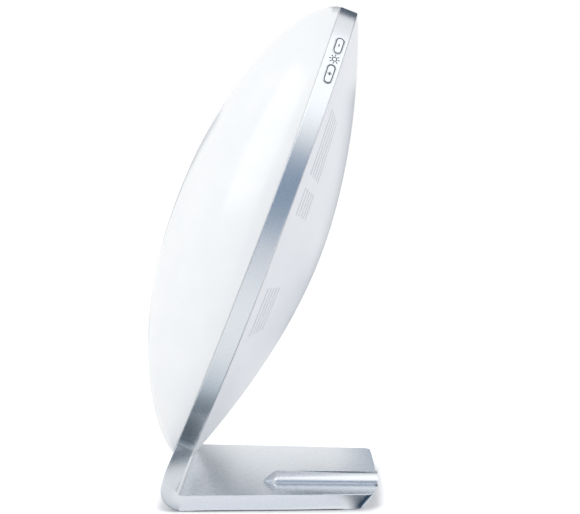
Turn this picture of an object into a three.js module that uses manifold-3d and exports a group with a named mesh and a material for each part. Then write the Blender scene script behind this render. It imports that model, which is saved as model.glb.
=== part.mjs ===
// A light therapy lamp: an oval light panel with an opal front dome, held in a silver rim
// that runs down into a wide bent foot. Millimetres, +Z up, the light shines towards -Y.
// The origin lies on the table under the middle of the lamp.
import * as THREE from 'three';
import { mergeVertices } from 'three/addons/utils/BufferGeometryUtils.js';
import Module from 'manifold-3d';

const wasm = await Module();
wasm.setup();

// Driving dimensions of the head, measured in its own leaning frame
const rimHalfWidth = 172;
const rimLength = 586;
const ovalPower = 2.4;
const rimDepth = 21;
const rimWall = 3;
const rimBow = 7;
const rimEdgeRound = 0.4;
const webReach = 7;
const webThickness = 2.5;
const leanDegrees = 20.7;
const headHeight = 45.8;

// The opal dome and the rear shell
const domeHeight = 113;
const domePower = 2;
const domeRound = 0.62;
const domeDroop = 0.25;
const droopPower = 14;
const diffuserWall = 3;
const backDepth = 57;
const backPower = 1.8;
const backRound = 0.96;
const rearWall = 2.5;
const edgeWall = 4.8;
const edgeInset = 0.6;
const skirtDepth = 2.6;

// Clearances and the overrun of every cut
const gap = 0.3;
const overrun = 1;
const mergeDistance = 1e-4;

// Vent slots in the rear shell
const ventWidth = 1.6;
const ventPitch = 5.4;
const ventEdge = 13;
const ventStep = 45;
const ventCount = 5;
const upperVentFromTop = 106;
const upperVentLength = 80;
const middleVentFromTop = 201;
const middleVentLength = 34;
const lowerVentFromTop = 328;
const lowerVentLength = 62;

// Reflector tray
const trayThickness = 1.2;
const trayDepth = 15;
const trayFlange = 10;
const traySlope = 14;

// Compact fluorescent tubes, their bases, holders and clips
const tubeRadius = 8.75;
const tubePitch = 21.5;
const tubeReach = 384;
const tubeOffset = 52;
const tubeLift = 19;
const baseWidth = 43.5;
const baseThickness = 23.5;
const baseLength = 27;
const baseCorner = 6;
const holderStart = 62;
const holderLength = 24;
const holderWall = 3;
const holderFloor = 8;
const clipWidth = 12;
const clipSheet = 1;
const clipFromTop = 42;
const clipGripDegrees = 60;

// Ballast box
const ballastWidth = 110;
const ballastLength = 68;
const ballastHeight = 28;
const ballastEar = 9;
const ballastSheet = 1.5;

// Buttons in the rim, and their boards
const buttonLength = 24.6;
const buttonWidth = 10.6;
const buttonShift = 1.6;
const buttonProud = 0.5;
const buttonFlange = 0.7;
const buttonFlangeThickness = 1.2;
const buttonTravel = 0.8;
const minusButtonFromTop = 47;
const plusButtonFromTop = 80;
const powerButtonFromTop = 64;
const buttonPocket = 0.7;
const stemRadius = 2;
const stemLength = 2;
const switchSide = 6;
const switchHeight = 3.5;
const boardLength = 86;
const boardWidth = 12;
const boardThickness = 1.6;
const boardPostRadius = 2;
const boardMargin = 3;
const boardNotch = 20;

// Stand: neck, bend and foot in one bent shell
const neckHalfWidth = 106;
const footRearHalfWidth = 94;
const footThickness = 18.8;
const footClearance = 1.2;
const standWall = 2.5;
const bendInnerRadius = 6;
const standEdgeRound = 1.6;
const neckFillet = 20;
const footReach = 244.6;
const baseToMiddle = 103.87;
const rearUndercut = 18;
const rearCorner = 10;
const rearCornerLow = 24;
const rearBulge = 3;
const rearEdgeShares = [0.5, 0, -0.5];

// Raised rib on the foot, housing the mains inlet
const ribRadius = 13.5;
const ribOffset = 48;
const ribNoseStart = 103;
const ribNoseLength = 18;
const ribNosePower = 1.3;
const ribOverhang = 0.6;

// Mains inlet
const inletHalfPitch = 3.2;
const inletRadius = 5.5;
const inletWall = 1.4;
const inletFlange = 2;
const inletFlangeThickness = 2;
const inletSnout = 4;
const inletBody = 16;
const inletRecess = 11;
const inletSetback = 6.5;
const inletLift = 0.5;
const pinRadius = 1.2;
const pinOffset = 4.3;
const pinSetback = 2;
const pinRoot = 4;

// Base plate, its pads and the counterweight
const basePlateThickness = 3;
const basePlateFront = 14;
const padRadius = 7;
const padInset = 12;
const weightWidth = 100;
const weightLength = 150;
const weightThickness = 6;
const weightOffset = 20;

// Steel bracket through the neck
const bracketWidth = 60;
const bracketThickness = 3;
const bracketRise = 9;
const bracketFoot = 70;

// Screws
const screwRadius = 1.5;
const screwHeadRadius = 3.2;
const screwHeadHeight = 1.8;
const screwLength = 9;
const screwBossRadius = 4.2;
const baseScrewInset = 12;
const baseScrewFromEnd = 34;
const rearScrewOffset = 20;
const rearScrewFromEnd = 72;
const rearScrewDepth = 5;
const bracketScrewOffset = 18;

// Leads
const supplyLeadRadius = 2.5;
const thinLeadRadius = 1.5;
const ballastLeadShare = 0.36;
const boardLeadShares = [0.2, 0.4, 0.72];

// Mesh steps
const ovalSteps = 56;
const domeSteps = 10;
const shellSteps = 7;
const innerSteps = 5;
const bendSteps = 10;
const cornerSteps = 1;
const roundSteps = 12;
const arcSteps = 2;
const leadSides = 8;
const neckSteps = 10;
const bracketSteps = 4;
const planSteps = 4;
const crownSteps = 3;
const noseSteps = 6;
const supplyLeadSteps = 44;
const lampLeadSteps = 16;
const boardLeadSteps = 16;

// Derived sizes that several pieces share
const lean = THREE.MathUtils.degToRad(leanDegrees);
const halfRim = rimDepth / 2;
const halfLength = rimLength / 2;
const skirtInset = rimWall + gap;
const footTop = footClearance + footThickness;
const footMiddle = footClearance + footThickness / 2;
const bendRadius = bendInnerRadius + footThickness / 2;
const bendCentreZ = footMiddle + bendRadius;
const headY = -baseToMiddle;
const bendCentreY = headY + (bendRadius + (bendCentreZ - headHeight) * Math.sin(lean)) / Math.cos(lean);
const footRear = headY + footReach;

const lamp = new THREE.Group();
const head = new THREE.Group();
head.position.set(0, headY, headHeight);
head.rotation.x = -lean;
lamp.add(head);

const finishes = {
  opal: new THREE.MeshStandardMaterial({ color: 0xf4f6f8, roughness: 0.15, metalness: 0 }),
  silver: new THREE.MeshStandardMaterial({ color: 0xb9c2cc, roughness: 0.3, metalness: 0.9 }),
  white: new THREE.MeshStandardMaterial({ color: 0xe6e8ee, roughness: 0.35, metalness: 0 }),
  mirror: new THREE.MeshStandardMaterial({ color: 0xe4e8ec, roughness: 0.12, metalness: 1 }),
  steel: new THREE.MeshStandardMaterial({ color: 0x8f959b, roughness: 0.4, metalness: 1 }),
  phosphor: new THREE.MeshStandardMaterial({ color: 0xfbfbf6, roughness: 0.3, metalness: 0 }),
  black: new THREE.MeshStandardMaterial({ color: 0x1b1c1e, roughness: 0.5, metalness: 0 }),
  rubber: new THREE.MeshStandardMaterial({ color: 0x2a2b2d, roughness: 0.9, metalness: 0 }),
  board: new THREE.MeshStandardMaterial({ color: 0x2f6b46, roughness: 0.5, metalness: 0 }),
  brass: new THREE.MeshStandardMaterial({ color: 0xc9b37a, roughness: 0.3, metalness: 1 }),
};

function addPiece(name, shape, finish, parent = lamp) {
  const geometry = shape instanceof THREE.BufferGeometry ? shape : fromSolid(shape);
  const mesh = new THREE.Mesh(geometry, finishes[finish]);
  mesh.name = name;
  parent.add(mesh);
  return mesh;
}

function merged(geometry) {
  const bare = geometry.clone();
  bare.deleteAttribute('normal');
  bare.deleteAttribute('uv');
  return mergeVertices(bare, mergeDistance);
}

function toSolid(geometry) {
  const shared = merged(geometry);
  return new wasm.Manifold(new wasm.Mesh({
    numProp: 3,
    vertProperties: new Float32Array(shared.attributes.position.array),
    triVerts: new Uint32Array(shared.index.array),
  }));
}

function fromSolid(solid) {
  const { vertProperties, triVerts } = solid.getMesh();
  const geometry = new THREE.BufferGeometry();
  geometry.setAttribute('position', new THREE.BufferAttribute(vertProperties, 3));
  geometry.setIndex(new THREE.BufferAttribute(triVerts, 1));
  return geometry;
}

function cut(solid, ...tools) {
  return tools.reduce((left, tool) => left.subtract(tool), solid);
}

function join(...solids) {
  return solids.reduce((left, right) => left.add(right));
}

// A loft through rings of equal point counts. It closes on itself, or ends in a fan at each end.
function loft(rings, { closed = false, startPole = null, endPole = null } = {}) {
  const count = rings[0].length;
  const points = rings.flat();
  const triangles = [];
  const bands = closed ? rings.length : rings.length - 1;
  for (let ring = 0; ring < bands; ring += 1) {
    const low = ring * count;
    const high = ((ring + 1) % rings.length) * count;
    for (let side = 0; side < count; side += 1) {
      const next = (side + 1) % count;
      triangles.push(low + side, low + next, high + next, low + side, high + next, high + side);
    }
  }
  if (!closed) {
    points.push(startPole ?? middleOf(rings[0]), endPole ?? middleOf(rings.at(-1)));
    const last = (rings.length - 1) * count;
    for (let side = 0; side < count; side += 1) {
      const next = (side + 1) % count;
      triangles.push(points.length - 2, next, side);
      triangles.push(points.length - 1, last + side, last + next);
    }
  }
  return facingOut(points, triangles);
}

function middleOf(ring) {
  const sum = ring.reduce((total, [x, y, z]) => [total[0] + x, total[1] + y, total[2] + z], [0, 0, 0]);
  return sum.map((value) => value / ring.length);
}

// Six times the volume enclosed is negative where the triangles face inwards, so they are turned.
function facingOut(points, triangles) {
  let volume = 0;
  for (let index = 0; index < triangles.length; index += 3) {
    const [a, b, c] = [0, 1, 2].map((corner) => new THREE.Vector3(...points[triangles[index + corner]]));
    volume += a.dot(b.cross(c));
  }
  const ordered = volume < 0 ? triangles.reverse() : triangles;
  const geometry = new THREE.BufferGeometry();
  geometry.setAttribute('position', new THREE.Float32BufferAttribute(points.flat(), 3));
  geometry.setIndex(ordered);
  return geometry;
}

// The oval: a superellipse inset from the rim's outer face, with u across and v up the rim
function ovalPoint(inset, angle, share = 1) {
  const across = Math.cos(angle);
  const along = Math.sin(angle);
  const u = (rimHalfWidth - inset) * Math.sign(across) * Math.abs(across) ** (2 / ovalPower);
  const v = (halfLength - inset) * Math.sign(along) * Math.abs(along) ** (2 / ovalPower);
  return [u * share, halfLength + v * share];
}

function bowAt(v) {
  const rise = THREE.MathUtils.clamp(v / rimLength, 0, 1);
  return 4 * rimBow * rise * (1 - rise);
}

// The head's frame: u across, v up along the rim, w out of the front. The rim bows to the back.
function headPoint(u, v, w) {
  return [u, bowAt(v) - w, v];
}

function ovalRing(inset, w, share = 1, steps = ovalSteps) {
  return Array.from({ length: steps }, (_, step) => {
    const [u, v] = ovalPoint(inset, (2 * Math.PI * step) / steps, share);
    return headPoint(u, v, w);
  });
}

// The angle at which the oval's outline reaches a height v
function ovalAngle(v, inset = 0) {
  const along = THREE.MathUtils.clamp((v - halfLength) / (halfLength - inset), -1, 1);
  return Math.asin(Math.sign(along) * Math.abs(along) ** (ovalPower / 2));
}

function bulge(height, power, round, share) {
  return height * (1 - share ** power) ** round;
}

// Shares of the oval from the middle out, closer together where the surface turns steep
function shareSteps(steps) {
  return Array.from({ length: steps }, (_, step) => Math.sin((Math.PI / 2) * ((step + 1) / steps)));
}

function roundedRectangle(width, height, radius) {
  const shape = new THREE.Shape();
  const x = width / 2;
  const y = height / 2;
  shape.moveTo(-x + radius, -y);
  shape.lineTo(x - radius, -y);
  shape.absarc(x - radius, -y + radius, radius, -Math.PI / 2, 0, false);
  shape.lineTo(x, y - radius);
  shape.absarc(x - radius, y - radius, radius, 0, Math.PI / 2, false);
  shape.lineTo(-x + radius, y);
  shape.absarc(-x + radius, y - radius, radius, Math.PI / 2, Math.PI, false);
  shape.lineTo(-x, -y + radius);
  shape.absarc(-x + radius, -y + radius, radius, Math.PI, Math.PI * 1.5, false);
  return shape;
}

function stadium(halfPitch, radius) {
  return roundedRectangle((halfPitch + radius) * 2, radius * 2, radius);
}

function extruded(shape, depth, curveSegments = arcSteps) {
  return new THREE.ExtrudeGeometry(shape, { depth, bevelEnabled: false, curveSegments });
}

// A cylinder that stands on its lower end, along Z
function post(radius, height, steps = roundSteps) {
  return new THREE.CylinderGeometry(radius, radius, height, steps).rotateX(Math.PI / 2).translate(0, 0, height / 2);
}

// A box that stands on its lower face, centred in X and Y
function block(width, depth, height) {
  return new THREE.BoxGeometry(width, depth, height).translate(0, 0, height / 2);
}

// Turns a shape's +Z to face the front of the head, with its X across and its Y up the rim
function faceFront(geometry) {
  return geometry.rotateX(Math.PI / 2);
}

function atHead(geometry, u, v, w) {
  return geometry.translate(...headPoint(u, v, w));
}

// The tray's floor and what stands on it don't bow: they are placed by their depth behind the rim's plane
function atDepth(geometry, u, v, depth) {
  return geometry.translate(u, depth, v);
}

function lead(points, radius, steps) {
  const section = new THREE.Shape();
  section.absarc(0, 0, radius, 0, 2 * Math.PI, false);
  const path = new THREE.CatmullRomCurve3(points.map((point) => new THREE.Vector3(...point)));
  return new THREE.ExtrudeGeometry(section, { steps, extrudePath: path, bevelEnabled: false, curveSegments: leadSides / 2 });
}

// A prism of the oval outline, reaching the same distance to the front and the back
function ovalPrism(inset, reach) {
  return toSolid(loft([ovalRing(inset, reach), ovalRing(inset, -reach)]));
}

// Places a button's shape on the rim's outer face at height v: X along the rim, Z straight out of it.
// The buttons sit a little behind the middle of the rim.
function rimPlacement(v, side) {
  const angle = ovalAngle(v);
  const step = 1 / ovalSteps;
  const [below, here, above] = [angle - step, angle, angle + step].map((turn) => {
    const [u, height] = ovalPoint(0, turn);
    return new THREE.Vector3(...headPoint(u * side, height, -buttonShift));
  });
  const along = above.sub(below).normalize();
  const out = new THREE.Vector3().crossVectors(along, new THREE.Vector3(0, -side, 0)).normalize();
  const across = new THREE.Vector3().crossVectors(out, along);
  return new THREE.Matrix4().makeBasis(along, across, out).setPosition(here);
}

function placed(geometry, matrix) {
  return toSolid(geometry.applyMatrix4(matrix));
}

// Depths below the rim's outer face, counted negative
const flangeTop = -(rimWall - buttonPocket + gap);
const flangeBottom = flangeTop - buttonFlangeThickness;
const stemTip = flangeBottom - stemLength;

function pill(extra) {
  return roundedRectangle(buttonLength + 2 * extra, buttonWidth + 2 * extra, buttonWidth / 2 + extra);
}

function layer(shape, low, high) {
  return extruded(shape, high - low).translate(0, 0, low);
}

function button(matrix) {
  const cap = placed(layer(pill(0), flangeBottom + buttonFlangeThickness / 2, buttonProud), matrix);
  const flange = placed(layer(pill(buttonFlange), flangeBottom, flangeTop), matrix);
  const stem = post(stemRadius, stemLength + buttonFlangeThickness / 2).translate(0, 0, stemTip);
  return join(cap, flange, placed(stem, matrix));
}

function buttonHole(matrix) {
  const through = placed(layer(pill(gap), -rimWall - overrun, buttonProud + overrun), matrix);
  const pocket = placed(layer(pill(buttonFlange + gap), flangeBottom - overrun, flangeTop + gap), matrix);
  return join(through, pocket);
}

// A board behind a group of buttons: its place on the rim and the depth of each switch top
function boardPlan(fromTops, side) {
  const heights = fromTops.map((fromTop) => rimLength - fromTop);
  const middle = heights.reduce((sum, height) => sum + height) / heights.length;
  const matrix = rimPlacement(middle, side);
  const back = matrix.clone().invert();
  const switches = heights.map((height) => {
    const tip = new THREE.Vector3(0, 0, stemTip).applyMatrix4(rimPlacement(height, side)).applyMatrix4(back);
    return { along: tip.x, top: tip.z - buttonTravel - gap };
  });
  const face = Math.min(...switches.map((plan) => plan.top)) - switchHeight;
  return { matrix, switches, face };
}

function controlBoard({ matrix, switches, face }) {
  const board = block(boardLength, boardWidth, boardThickness).translate(0, 0, face - boardThickness);
  const keys = switches.map(({ along, top }) => {
    const height = top - face + boardThickness / 2;
    return placed(block(switchSide, switchSide, height).translate(along, 0, face - boardThickness / 2), matrix);
  });
  return join(placed(board, matrix), ...keys);
}

// The room that a board takes, cut out of the web and the tray behind the rim's wall
function boardRoom({ matrix }, width, depth) {
  const length = boardLength + 2 * boardMargin;
  return placed(block(length, width, depth).translate(0, 0, -depth), matrix);
}

function boardPosts({ matrix, face }) {
  return [-1, 1].map((end) => {
    const along = end * (boardLength / 2 - boardMargin);
    const height = -face - gap - rimWall / 2;
    const long = placed(post(boardPostRadius, height).translate(along, 0, face + gap), matrix);
    return long.intersect(ovalPrism(rimWall / 2, rimDepth));
  });
}

const frontPlan = boardPlan([minusButtonFromTop, plusButtonFromTop], 1);
const powerPlan = boardPlan([powerButtonFromTop], -1);

// The rim: a hoop with a T-shaped section, whose web carries the tray and the bracket
function rimHoop() {
  const web = webThickness / 2;
  const section = [
    [0, rimEdgeRound - halfRim], [0, halfRim - rimEdgeRound], [rimEdgeRound, halfRim],
    [rimWall, halfRim], [rimWall, web], [rimWall + webReach, web],
    [rimWall + webReach, -web], [rimWall, -web], [rimWall, -halfRim], [rimEdgeRound, -halfRim],
  ];
  return toSolid(loft(section.map(([inset, w]) => ovalRing(inset, w)), { closed: true }));
}

const windowDepth = halfRim - skirtDepth - webThickness / 2;
const windowMiddle = -(halfRim - skirtDepth + webThickness / 2) / 2;

// The window under the web, through which the bracket and the supply lead reach the foot
function rimWindow() {
  const left = -bracketWidth / 2 - 2 * gap;
  const right = ribOffset + supplyLeadRadius + 2 * gap;
  const shape = block(right - left, windowDepth, rimWall + 2 * webReach);
  return toSolid(shape.translate((left + right) / 2, -windowMiddle, -overrun));
}

function screwHole(radius, depth) {
  return post(radius + gap, depth + 2 * overrun).translate(0, 0, -overrun);
}

const bracketScrewHeight = rimWall + gap + screwHeadRadius;
const bracketBack = -webThickness / 2 - gap - bracketThickness;

function bracketScrewPlaces() {
  return [-bracketScrewOffset, bracketScrewOffset].map((u) => [u, bracketScrewHeight]);
}

function rimFrame() {
  const behindWall = ovalPrism(rimWall + gap / 2, rimDepth);
  const rooms = [frontPlan, powerPlan].map((plan) => boardRoom(plan, boardWidth + 2 * gap, boardNotch).intersect(behindWall));
  const screwHoles = bracketScrewPlaces().map(([u, v]) => toSolid(
    atHead(faceFront(screwHole(screwRadius, bracketThickness + webThickness)), u, v, bracketBack),
  ));
  const bare = cut(rimHoop(), ...rooms, rimWindow(), ...screwHoles);
  const withPosts = join(bare, ...boardPosts(frontPlan), ...boardPosts(powerPlan));
  return cut(withPosts, ...buttonPlaces.map((place) => buttonHole(place)));
}

const buttonPlaces = [
  rimPlacement(rimLength - minusButtonFromTop, 1),
  rimPlacement(rimLength - plusButtonFromTop, 1),
  rimPlacement(rimLength - powerButtonFromTop, -1),
];

// Rings of a domed surface from the middle out. The side is 1 to the front and -1 to the back.
// Towards the lower end the roundness grows by the droop, so the surface comes in more gently there.
function domeRings(inset, base, height, { power, round, droop, side }, steps) {
  const point = (share, angle) => {
    const [u, v] = ovalPoint(inset, angle, share);
    const low = Math.max(0, -Math.sin(angle)) ** droopPower;
    return headPoint(u, v, side * (base + bulge(height, power, round + droop * low, share)));
  };
  return shareSteps(steps).map((share) => (
    Array.from({ length: ovalSteps }, (_, step) => point(share, (2 * Math.PI * step) / ovalSteps))
  ));
}

// A domed shell: outer skin, flush edge, a skirt that drops inside the rim, and the inner skin
function domedShell(form) {
  const { height, wall, side, steps } = form;
  const seat = halfRim + gap;
  const skirtEnd = seat - gap - skirtDepth;
  const innerInset = edgeInset + edgeWall;
  const innerHeight = height - wall;
  const outer = domeRings(edgeInset, seat, height, form, steps);
  const skirt = [
    ovalRing(skirtInset, side * seat), ovalRing(skirtInset, side * skirtEnd), ovalRing(innerInset, side * skirtEnd),
  ];
  const inner = domeRings(innerInset, seat, innerHeight, form, innerSteps).reverse();
  return loft([...outer, ...skirt, ...inner], {
    startPole: headPoint(0, halfLength, side * (seat + height)),
    endPole: headPoint(0, halfLength, side * (seat + innerHeight)),
  });
}

const diffuserShape = {
  height: domeHeight, power: domePower, round: domeRound, droop: domeDroop, wall: diffuserWall, side: 1,
  steps: domeSteps,
};
const rearShape = {
  height: backDepth, power: backPower, round: backRound, droop: 0, wall: rearWall, side: -1, steps: shellSteps,
};

// A slot that follows the oval between two heights, cut straight through the rear shell
function ventSlot(inset, top, length, side) {
  const steps = Math.ceil(length / ventStep);
  const angles = Array.from({ length: steps + 1 }, (_, step) => ovalAngle(top - (length * step) / steps, inset));
  const edge = (extra, list) => list.map((angle) => {
    const [u, v] = ovalPoint(inset + extra, angle);
    return new THREE.Vector2(u * side, v);
  });
  const outline = [...edge(0, angles), ...edge(ventWidth, angles.toReversed())];
  const reach = backDepth + rimBow;
  return toSolid(faceFront(extruded(new THREE.Shape(outline), reach)).translate(0, halfRim + reach, 0));
}

// Each row is a band of slots side by side, stepping in from the rim
function ventRows() {
  const rows = [
    [upperVentFromTop, upperVentLength], [middleVentFromTop, middleVentLength], [lowerVentFromTop, lowerVentLength],
  ];
  return rows.flatMap(([fromTop, length]) => [-1, 1].flatMap((side) => (
    Array.from({ length: ventCount }, (_, slot) => (
      ventSlot(ventEdge + slot * ventPitch, rimLength - fromTop, length, side)
    ))
  )));
}

// Depth of the rear shell's outer face behind the rim's straight plane, at a place given by u and v
function rearFace(u, v) {
  const across = Math.abs(u) / (rimHalfWidth - edgeInset);
  const along = Math.abs(v - halfLength) / (halfLength - edgeInset);
  const share = (across ** ovalPower + along ** ovalPower) ** (1 / ovalPower);
  return bowAt(v) + halfRim + gap + bulge(backDepth, backPower, backRound, share);
}

// Tray: a flange on the web's front, sloping in to a flat floor behind the tubes
const trayFront = webThickness / 2 + gap + trayThickness;
const trayFloor = trayFront - trayDepth;
const trayBack = trayFloor - trayThickness;

function reflectorTray() {
  const flangeInset = skirtInset + webReach / 2;
  const slopeInset = flangeInset + trayFlange;
  const floorInset = slopeInset + traySlope;
  const floorRing = (w) => ovalRing(floorInset, w).map(([x, , z]) => [x, -w, z]);
  return loft([
    floorRing(trayFloor), ovalRing(slopeInset, trayFront), ovalRing(flangeInset, trayFront),
    ovalRing(flangeInset, trayFront - trayThickness), ovalRing(slopeInset, trayFront - trayThickness),
    floorRing(trayBack),
  ], {
    startPole: [0, -trayFloor, halfLength],
    endPole: [0, -trayBack, halfLength],
  });
}

function rearScrewPlaces() {
  return [rearScrewFromEnd, rimLength - rearScrewFromEnd].flatMap((v) => (
    [-rearScrewOffset, rearScrewOffset].map((u) => [u, v])
  ));
}

const lampLeadHole = thinLeadRadius + 2 * gap;
const lampLeadHeight = holderStart + holderLength / 2;

function reflector() {
  const rooms = [frontPlan, powerPlan].map((plan) => boardRoom(plan, 2 * trayDepth, boardNotch - plan.face));
  const holes = rearScrewPlaces().map(([u, v]) => (
    toSolid(atDepth(faceFront(screwHole(screwRadius, trayThickness)), u, v, -trayBack))
  ));
  const leadHoles = [-tubeOffset, tubeOffset].map((u) => (
    toSolid(atDepth(faceFront(screwHole(lampLeadHole, trayThickness)), u, lampLeadHeight, -trayBack))
  ));
  return cut(toSolid(reflectorTray()), ...rooms, ...holes, ...leadHoles);
}

// The rear shell carries a hollow post behind each screw, from its inner face to the tray
function rearShell() {
  const postEnd = gap - trayBack;
  const posts = [];
  const cuts = [];
  rearScrewPlaces().forEach(([u, v]) => {
    const face = rearFace(u, v);
    const root = face - rearWall / 2;
    posts.push(atDepth(faceFront(post(screwBossRadius, root - postEnd)), u, v, root));
    cuts.push(atDepth(faceFront(post(screwHeadRadius + gap, face)), u, v, 2 * face - rearScrewDepth));
    cuts.push(atDepth(faceFront(screwHole(screwRadius, face - postEnd)), u, v, face));
  });
  const skin = toSolid(domedShell(rearShape));
  return cut(join(skin, ...posts.map(toSolid)), ...cuts.map(toSolid), ...ventRows());
}

// A pan-head screw whose head stands on its lower end, with the shank above it
function screw(length) {
  const head = new THREE.CylinderGeometry(screwHeadRadius, screwHeadRadius, screwHeadHeight, roundSteps);
  head.rotateX(Math.PI / 2).translate(0, 0, screwHeadHeight / 2);
  const shank = post(screwRadius, length + screwHeadHeight / 2, roundSteps / 2).translate(0, 0, screwHeadHeight / 2);
  return join(toSolid(head), toSolid(shank));
}

function rearScrew([u, v]) {
  const seat = rearFace(u, v) - rearScrewDepth;
  const shape = faceFront(fromSolid(screw(seat + trayFloor)));
  return atDepth(shape, u, v, seat + gap + screwHeadHeight);
}

// A compact fluorescent tube: two glass legs with round ends, joined by a short bridge near the top
const tubeLine = trayFloor + tubeLift;
const baseStart = holderStart + holderFloor + gap;
const tubeStart = baseStart + baseLength + gap;
const tubeEnd = tubeStart + tubeReach;

function tubeLeg() {
  const turns = Array.from({ length: crownSteps + 1 }, (_, step) => (Math.PI / 2) * (step / crownSteps));
  const crown = turns.map((turn) => new THREE.Vector2(
    tubeRadius * Math.cos(turn), tubeReach - tubeRadius + tubeRadius * Math.sin(turn),
  ));
  crown.at(-1).x = 0;
  const profile = [new THREE.Vector2(0, 0), new THREE.Vector2(tubeRadius, 0), ...crown];
  return new THREE.LatheGeometry(profile, roundSteps).rotateX(Math.PI / 2);
}

function glassTube(u) {
  const legs = [-1, 1].map((side) => (
    toSolid(tubeLeg().translate(u + side * tubePitch / 2, -tubeLine, tubeStart))
  ));
  const bridge = post(tubeRadius / 2, tubePitch).rotateY(Math.PI / 2).translate(-tubePitch / 2, 0, 0);
  bridge.translate(u, -tubeLine, tubeEnd - 2 * tubeRadius);
  return join(...legs, toSolid(bridge));
}

function tubeBase(u) {
  const shape = extruded(roundedRectangle(baseWidth, baseThickness, baseCorner), baseLength);
  return shape.translate(u, -tubeLine, baseStart);
}

function lampHolder(u) {
  const width = baseWidth + 2 * (gap + holderWall);
  const back = trayFloor + gap;
  const front = tubeLine + baseThickness / 2 + gap + holderWall;
  const body = toSolid(block(width, front - back, holderLength).translate(u, -(front + back) / 2, holderStart));
  const pocketShape = roundedRectangle(baseWidth + 2 * gap, baseThickness + 2 * gap, baseCorner + gap);
  const pocket = extruded(pocketShape, holderLength).translate(u, -tubeLine, holderStart + holderFloor);
  return cut(body, toSolid(pocket));
}

// A sheet spring clip, standing on the tray and closing round both legs of a tube
function tubeClip(u) {
  const inner = tubeRadius + gap;
  const outer = inner + clipSheet;
  const reach = tubePitch / 2;
  const start = tubeEnd - clipFromTop;
  const floor = gap - tubeLift;
  const grip = THREE.MathUtils.degToRad(clipGripDegrees);
  const shape = new THREE.Shape();
  shape.moveTo(-reach - outer, floor);
  shape.lineTo(reach + outer, floor);
  shape.absarc(reach, 0, outer, 0, grip, false);
  shape.absarc(reach, 0, inner, grip, 0, true);
  shape.lineTo(reach + inner, floor + clipSheet);
  shape.lineTo(-reach - inner, floor + clipSheet);
  shape.absarc(-reach, 0, inner, Math.PI, Math.PI - grip, true);
  shape.absarc(-reach, 0, outer, Math.PI - grip, Math.PI, false);
  const strip = extruded(shape, clipWidth).rotateX(Math.PI);
  return strip.translate(u, -tubeLine, start);
}

// The ballast: a sheet box on the back of the tray, with an ear along each side
const ballastTop = trayBack - gap;
const ballastStart = halfLength - ballastLength;

function ballast() {
  const half = ballastWidth / 2;
  const shape = new THREE.Shape();
  shape.moveTo(-half - ballastEar, 0);
  shape.lineTo(half + ballastEar, 0);
  shape.lineTo(half + ballastEar, ballastSheet);
  shape.lineTo(half, ballastSheet);
  shape.lineTo(half, ballastHeight);
  shape.lineTo(-half, ballastHeight);
  shape.lineTo(-half, ballastSheet);
  shape.lineTo(-half - ballastEar, ballastSheet);
  return extruded(shape, ballastLength).translate(0, -ballastTop, ballastStart);
}

// The bent centre line of the stand in the YZ plane, from the neck's top to the rear of the foot.
// Each station has its place, the direction of its outer face and the height along the rim.
function neckPoint(v, offset = 0) {
  const y = bowAt(v) - offset;
  return {
    y: headY + v * Math.sin(lean) + y * Math.cos(lean),
    z: headHeight + v * Math.cos(lean) - y * Math.sin(lean),
  };
}

const bendStart = (bendCentreY - headY) * Math.sin(lean) + (bendCentreZ - headHeight) * Math.cos(lean);

function neckStations(top, steps) {
  return Array.from({ length: steps }, (_, step) => {
    const v = top + ((bendStart - top) * step) / steps;
    return { v, ...neckPoint(v), outY: -Math.cos(lean), outZ: Math.sin(lean) };
  });
}

function bendStations() {
  return Array.from({ length: bendSteps + 1 }, (_, step) => {
    const turn = Math.PI - lean + ((Math.PI / 2 + lean) * step) / bendSteps;
    const outY = Math.cos(turn);
    const outZ = Math.sin(turn);
    return { v: bendStart, y: bendCentreY + bendRadius * outY, z: bendCentreZ + bendRadius * outZ, outY, outZ };
  });
}

function footStation(y) {
  return { v: bendStart, y, z: footMiddle, outY: 0, outZ: -1 };
}

// A rounded rectangle across the path, moved along the outer direction by an offset
function pathRing(station, halfWidth, halfDepth, offset, radius) {
  const corners = [[1, 1, 0], [-1, 1, 1], [-1, -1, 2], [1, -1, 3]];
  return corners.flatMap(([sideX, sideN, quarter]) => (
    Array.from({ length: cornerSteps + 1 }, (_, step) => {
      const turn = (Math.PI / 2) * (quarter + step / cornerSteps);
      const x = sideX * (halfWidth - radius) + radius * Math.cos(turn);
      const out = offset + sideN * (halfDepth - radius) + radius * Math.sin(turn);
      return [x, station.y + station.outY * out, station.z + station.outZ * out];
    })
  ));
}

// The fillet that leads the neck's straight side into the oval: an arc touching both
function distanceToOval(u, v) {
  return Array.from({ length: ovalSteps }, (_, step) => {
    const angle = (-Math.PI / 2) * (step / ovalSteps);
    const [ovalU, ovalV] = ovalPoint(0, angle);
    return { distance: Math.hypot(ovalU - u, ovalV - v), v: ovalV };
  }).reduce((best, next) => (next.distance < best.distance ? next : best));
}

function findFillet() {
  const u = neckHalfWidth + neckFillet;
  let low = bendStart;
  let high = halfLength;
  while (high - low > mergeDistance) {
    const middle = (low + high) / 2;
    if (distanceToOval(u, middle).distance > neckFillet) {
      low = middle;
    } else {
      high = middle;
    }
  }
  return { start: low, end: distanceToOval(u, low).v };
}

const fillet = findFillet();

function neckHalfWidthAt(v) {
  const rise = THREE.MathUtils.clamp(v - fillet.start, 0, neckFillet);
  return neckHalfWidth + neckFillet - Math.sqrt(neckFillet ** 2 - rise ** 2);
}

function footHalfWidthAt(y) {
  const share = THREE.MathUtils.clamp((y - bendCentreY) / (footRear - bendCentreY), 0, 1);
  return neckHalfWidth + (footRearHalfWidth - neckHalfWidth) * share;
}

function standHalfWidth(station) {
  return station.v > bendStart ? neckHalfWidthAt(station.v) : footHalfWidthAt(station.y);
}

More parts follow.
